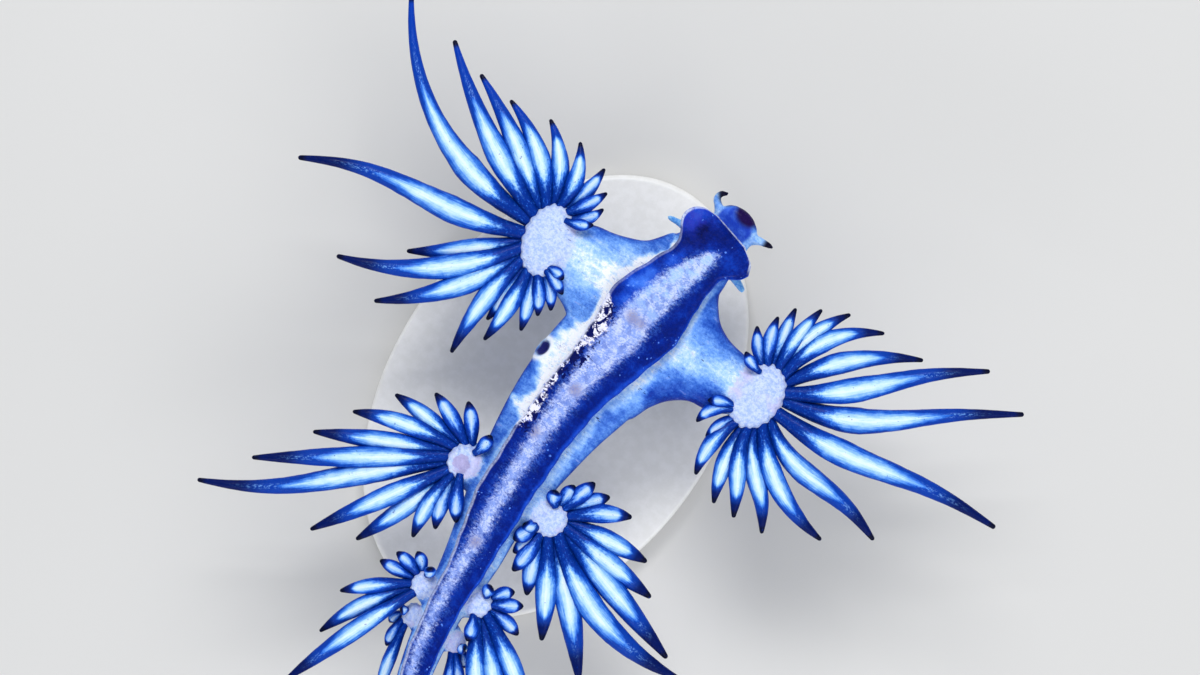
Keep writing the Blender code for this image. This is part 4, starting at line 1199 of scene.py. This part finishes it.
# display stand
stand = {
    "half": (8.5, 12.5),
    "thickness": 1.6,
    "centreY": -0.5,
    "edge": 0.22,
    "rodRadius": 0.75,
    "rodYs": (4.5, -6.5),
    "rodInside": 0.25,  # how far a rod goes into the body
    "collar": (1.25, 0.35),  # radius and height of the ring at the foot of each rod
    "sharpAngle": 40,
}


def lathe(name, outline, centre, points, material, stretch=(1, 1)):  # turns (radius, height) pairs
    shape = bmesh.new()
    rings = []
    for radius, height in outline:
        sizes = (stretch[0] * radius, stretch[1] * radius, stretch[1] * radius)
        middle = Vector((*centre, height))
        rings.append(ringRound(middle, Vector((1, 0, 0)), sizes, points, above=Vector((0, 1, 0))))
    addLoft(shape, rings)
    made = shapeDone(shape, name)
    made.data.shade_smooth()
    made.data.set_sharp_from_angle(angle=math.radians(stand["sharpAngle"]))
    made.data.materials.append(material)
    return made


baseFinish, tree, shader, place = newMaterial("base_lacquer", Coat_Weight=0.15, Coat_Roughness=0.3)
speckle = noise(place, 2, 4, 0.6)
colour = blend(remap(speckle, 0.35, 0.7), paint(236, 235, 231), paint(243, 242, 239))
normal = bumped(noise(place, 12, 4), 0.00002, 0.25)
finish(shader, colour, remap(speckle, 0.3, 0.7, (0.42, 0.58)), normal)
e, t = stand["edge"], stand["thickness"]
outline = [(0.02, 0), (0.5, 0), (0.97, 0), (0.985, 0.05), (1, 0.22)]  # radius as a share
for a in spread(0, math.pi / 2, 8):
    outline.append((1 - e / stand["half"][0] * (1 - math.cos(a)), t - e + e * math.sin(a)))
outline += [(0.6, t), (0.02, t)]
base = lathe("stand_plinth", outline, (0, stand["centreY"]), 160, baseFinish, stand["half"])
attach(base, "root")
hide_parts("stand_base")

rodFinish, tree, shader, place = newMaterial("rod_steel", Metallic=1)
brushed = noise(stretched(place, (1, 1, 9)), 4, 4, 0.7)
colour = blend(brushed, paint(196, 200, 204), paint(226, 229, 232))
finish(shader, colour, remap(brushed, 0.3, 0.7, (0.26, 0.42)), bumped(brushed, 0.00001, 0.3))
for name, y in zip(("front", "rear"), stand["rodYs"]):
    r, (cr, ch) = stand["rodRadius"], stand["collar"]
    top = middleHeight - float(lineAt(flankDepth, y)) + stand["rodInside"]
    outline = [(0.02, t - 0.1), (cr, t - 0.1), (cr, t + ch - 0.1), (cr - 0.1, t + ch)]
    outline += [(r + 0.12, t + ch), (r, t + ch + 0.12), (r, top - 0.15)]
    outline += [(r - 0.15, top), (0.02, top)]
    rod = lathe("stand_post_" + name, outline, (float(lineAt(middleX, y)), y), 48, rodFinish)
    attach(rod, "root")
    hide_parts("stand_rod_" + name)
print("stand finished")

# floor, light and camera
look = {
    "centre": (0.19, 3.29),
    "turn": 34,
    "width": 60,
    "distance": 250,
    "floor": ((209, 208, 205), (214, 213, 210)),
    "world": (0.85, 0.9, 1),
    "worldStrength": 0.46,
    "aim": (0.5, 2, 8.6),  # where the lamps point
    "lamps": {
        "key": ((-60, 90, 150), (90, 60), 0.2),
        "fill": ((110, -30, 120), (120, 90), 0.085),
        "rim": ((20, -130, 70), (100, 40), 0.06),
    },  # place and size in mm, power
}
bpy.ops.mesh.primitive_plane_add(size=2, location=(0, 0, 0))
floor = bpy.context.object
floor.name = "floor"
floorFinish, tree, shader, place = newMaterial("studio_floor", Roughness=0.8)
dark, light = (paint(*rgb) for rgb in look["floor"])
feed(shader.inputs["Base Color"], blend(noise(place, 0.02), dark, light))
floor.data.materials.append(floorFinish)

world = bpy.data.worlds.new("studio")
world.use_nodes = True
background = world.node_tree.nodes["Background"]
background.inputs["Color"].default_value = (*look["world"], 1)
background.inputs["Strength"].default_value = look["worldStrength"]
bpy.context.scene.world = world
for name, (place, size, power) in look["lamps"].items():
    lamp = bpy.data.lights.new(name, "AREA")
    lamp.shape = "RECTANGLE"
    lamp.size, lamp.size_y = size[0] * mm, size[1] * mm
    lamp.energy = power
    made = newObject(name, lamp)
    made.location = Vector(place) * mm
    aim = Vector(look["aim"]) - Vector(place)
    made.rotation_euler = aim.to_track_quat("-Z", "Y").to_euler()

cameraData = bpy.data.cameras.new("camera")
cameraData.sensor_width = 36
cameraData.lens = look["distance"] / look["width"] * cameraData.sensor_width
cameraData.clip_start = 0.01
camera = newObject("camera", cameraData)
camera.location = Vector((*look["centre"], middleHeight + look["distance"])) * mm
camera.rotation_euler = (0, 0, math.radians(look["turn"]))
bpy.context.scene.camera = camera
bpy.context.scene.view_settings.view_transform = "Standard"
print("light and camera ready")
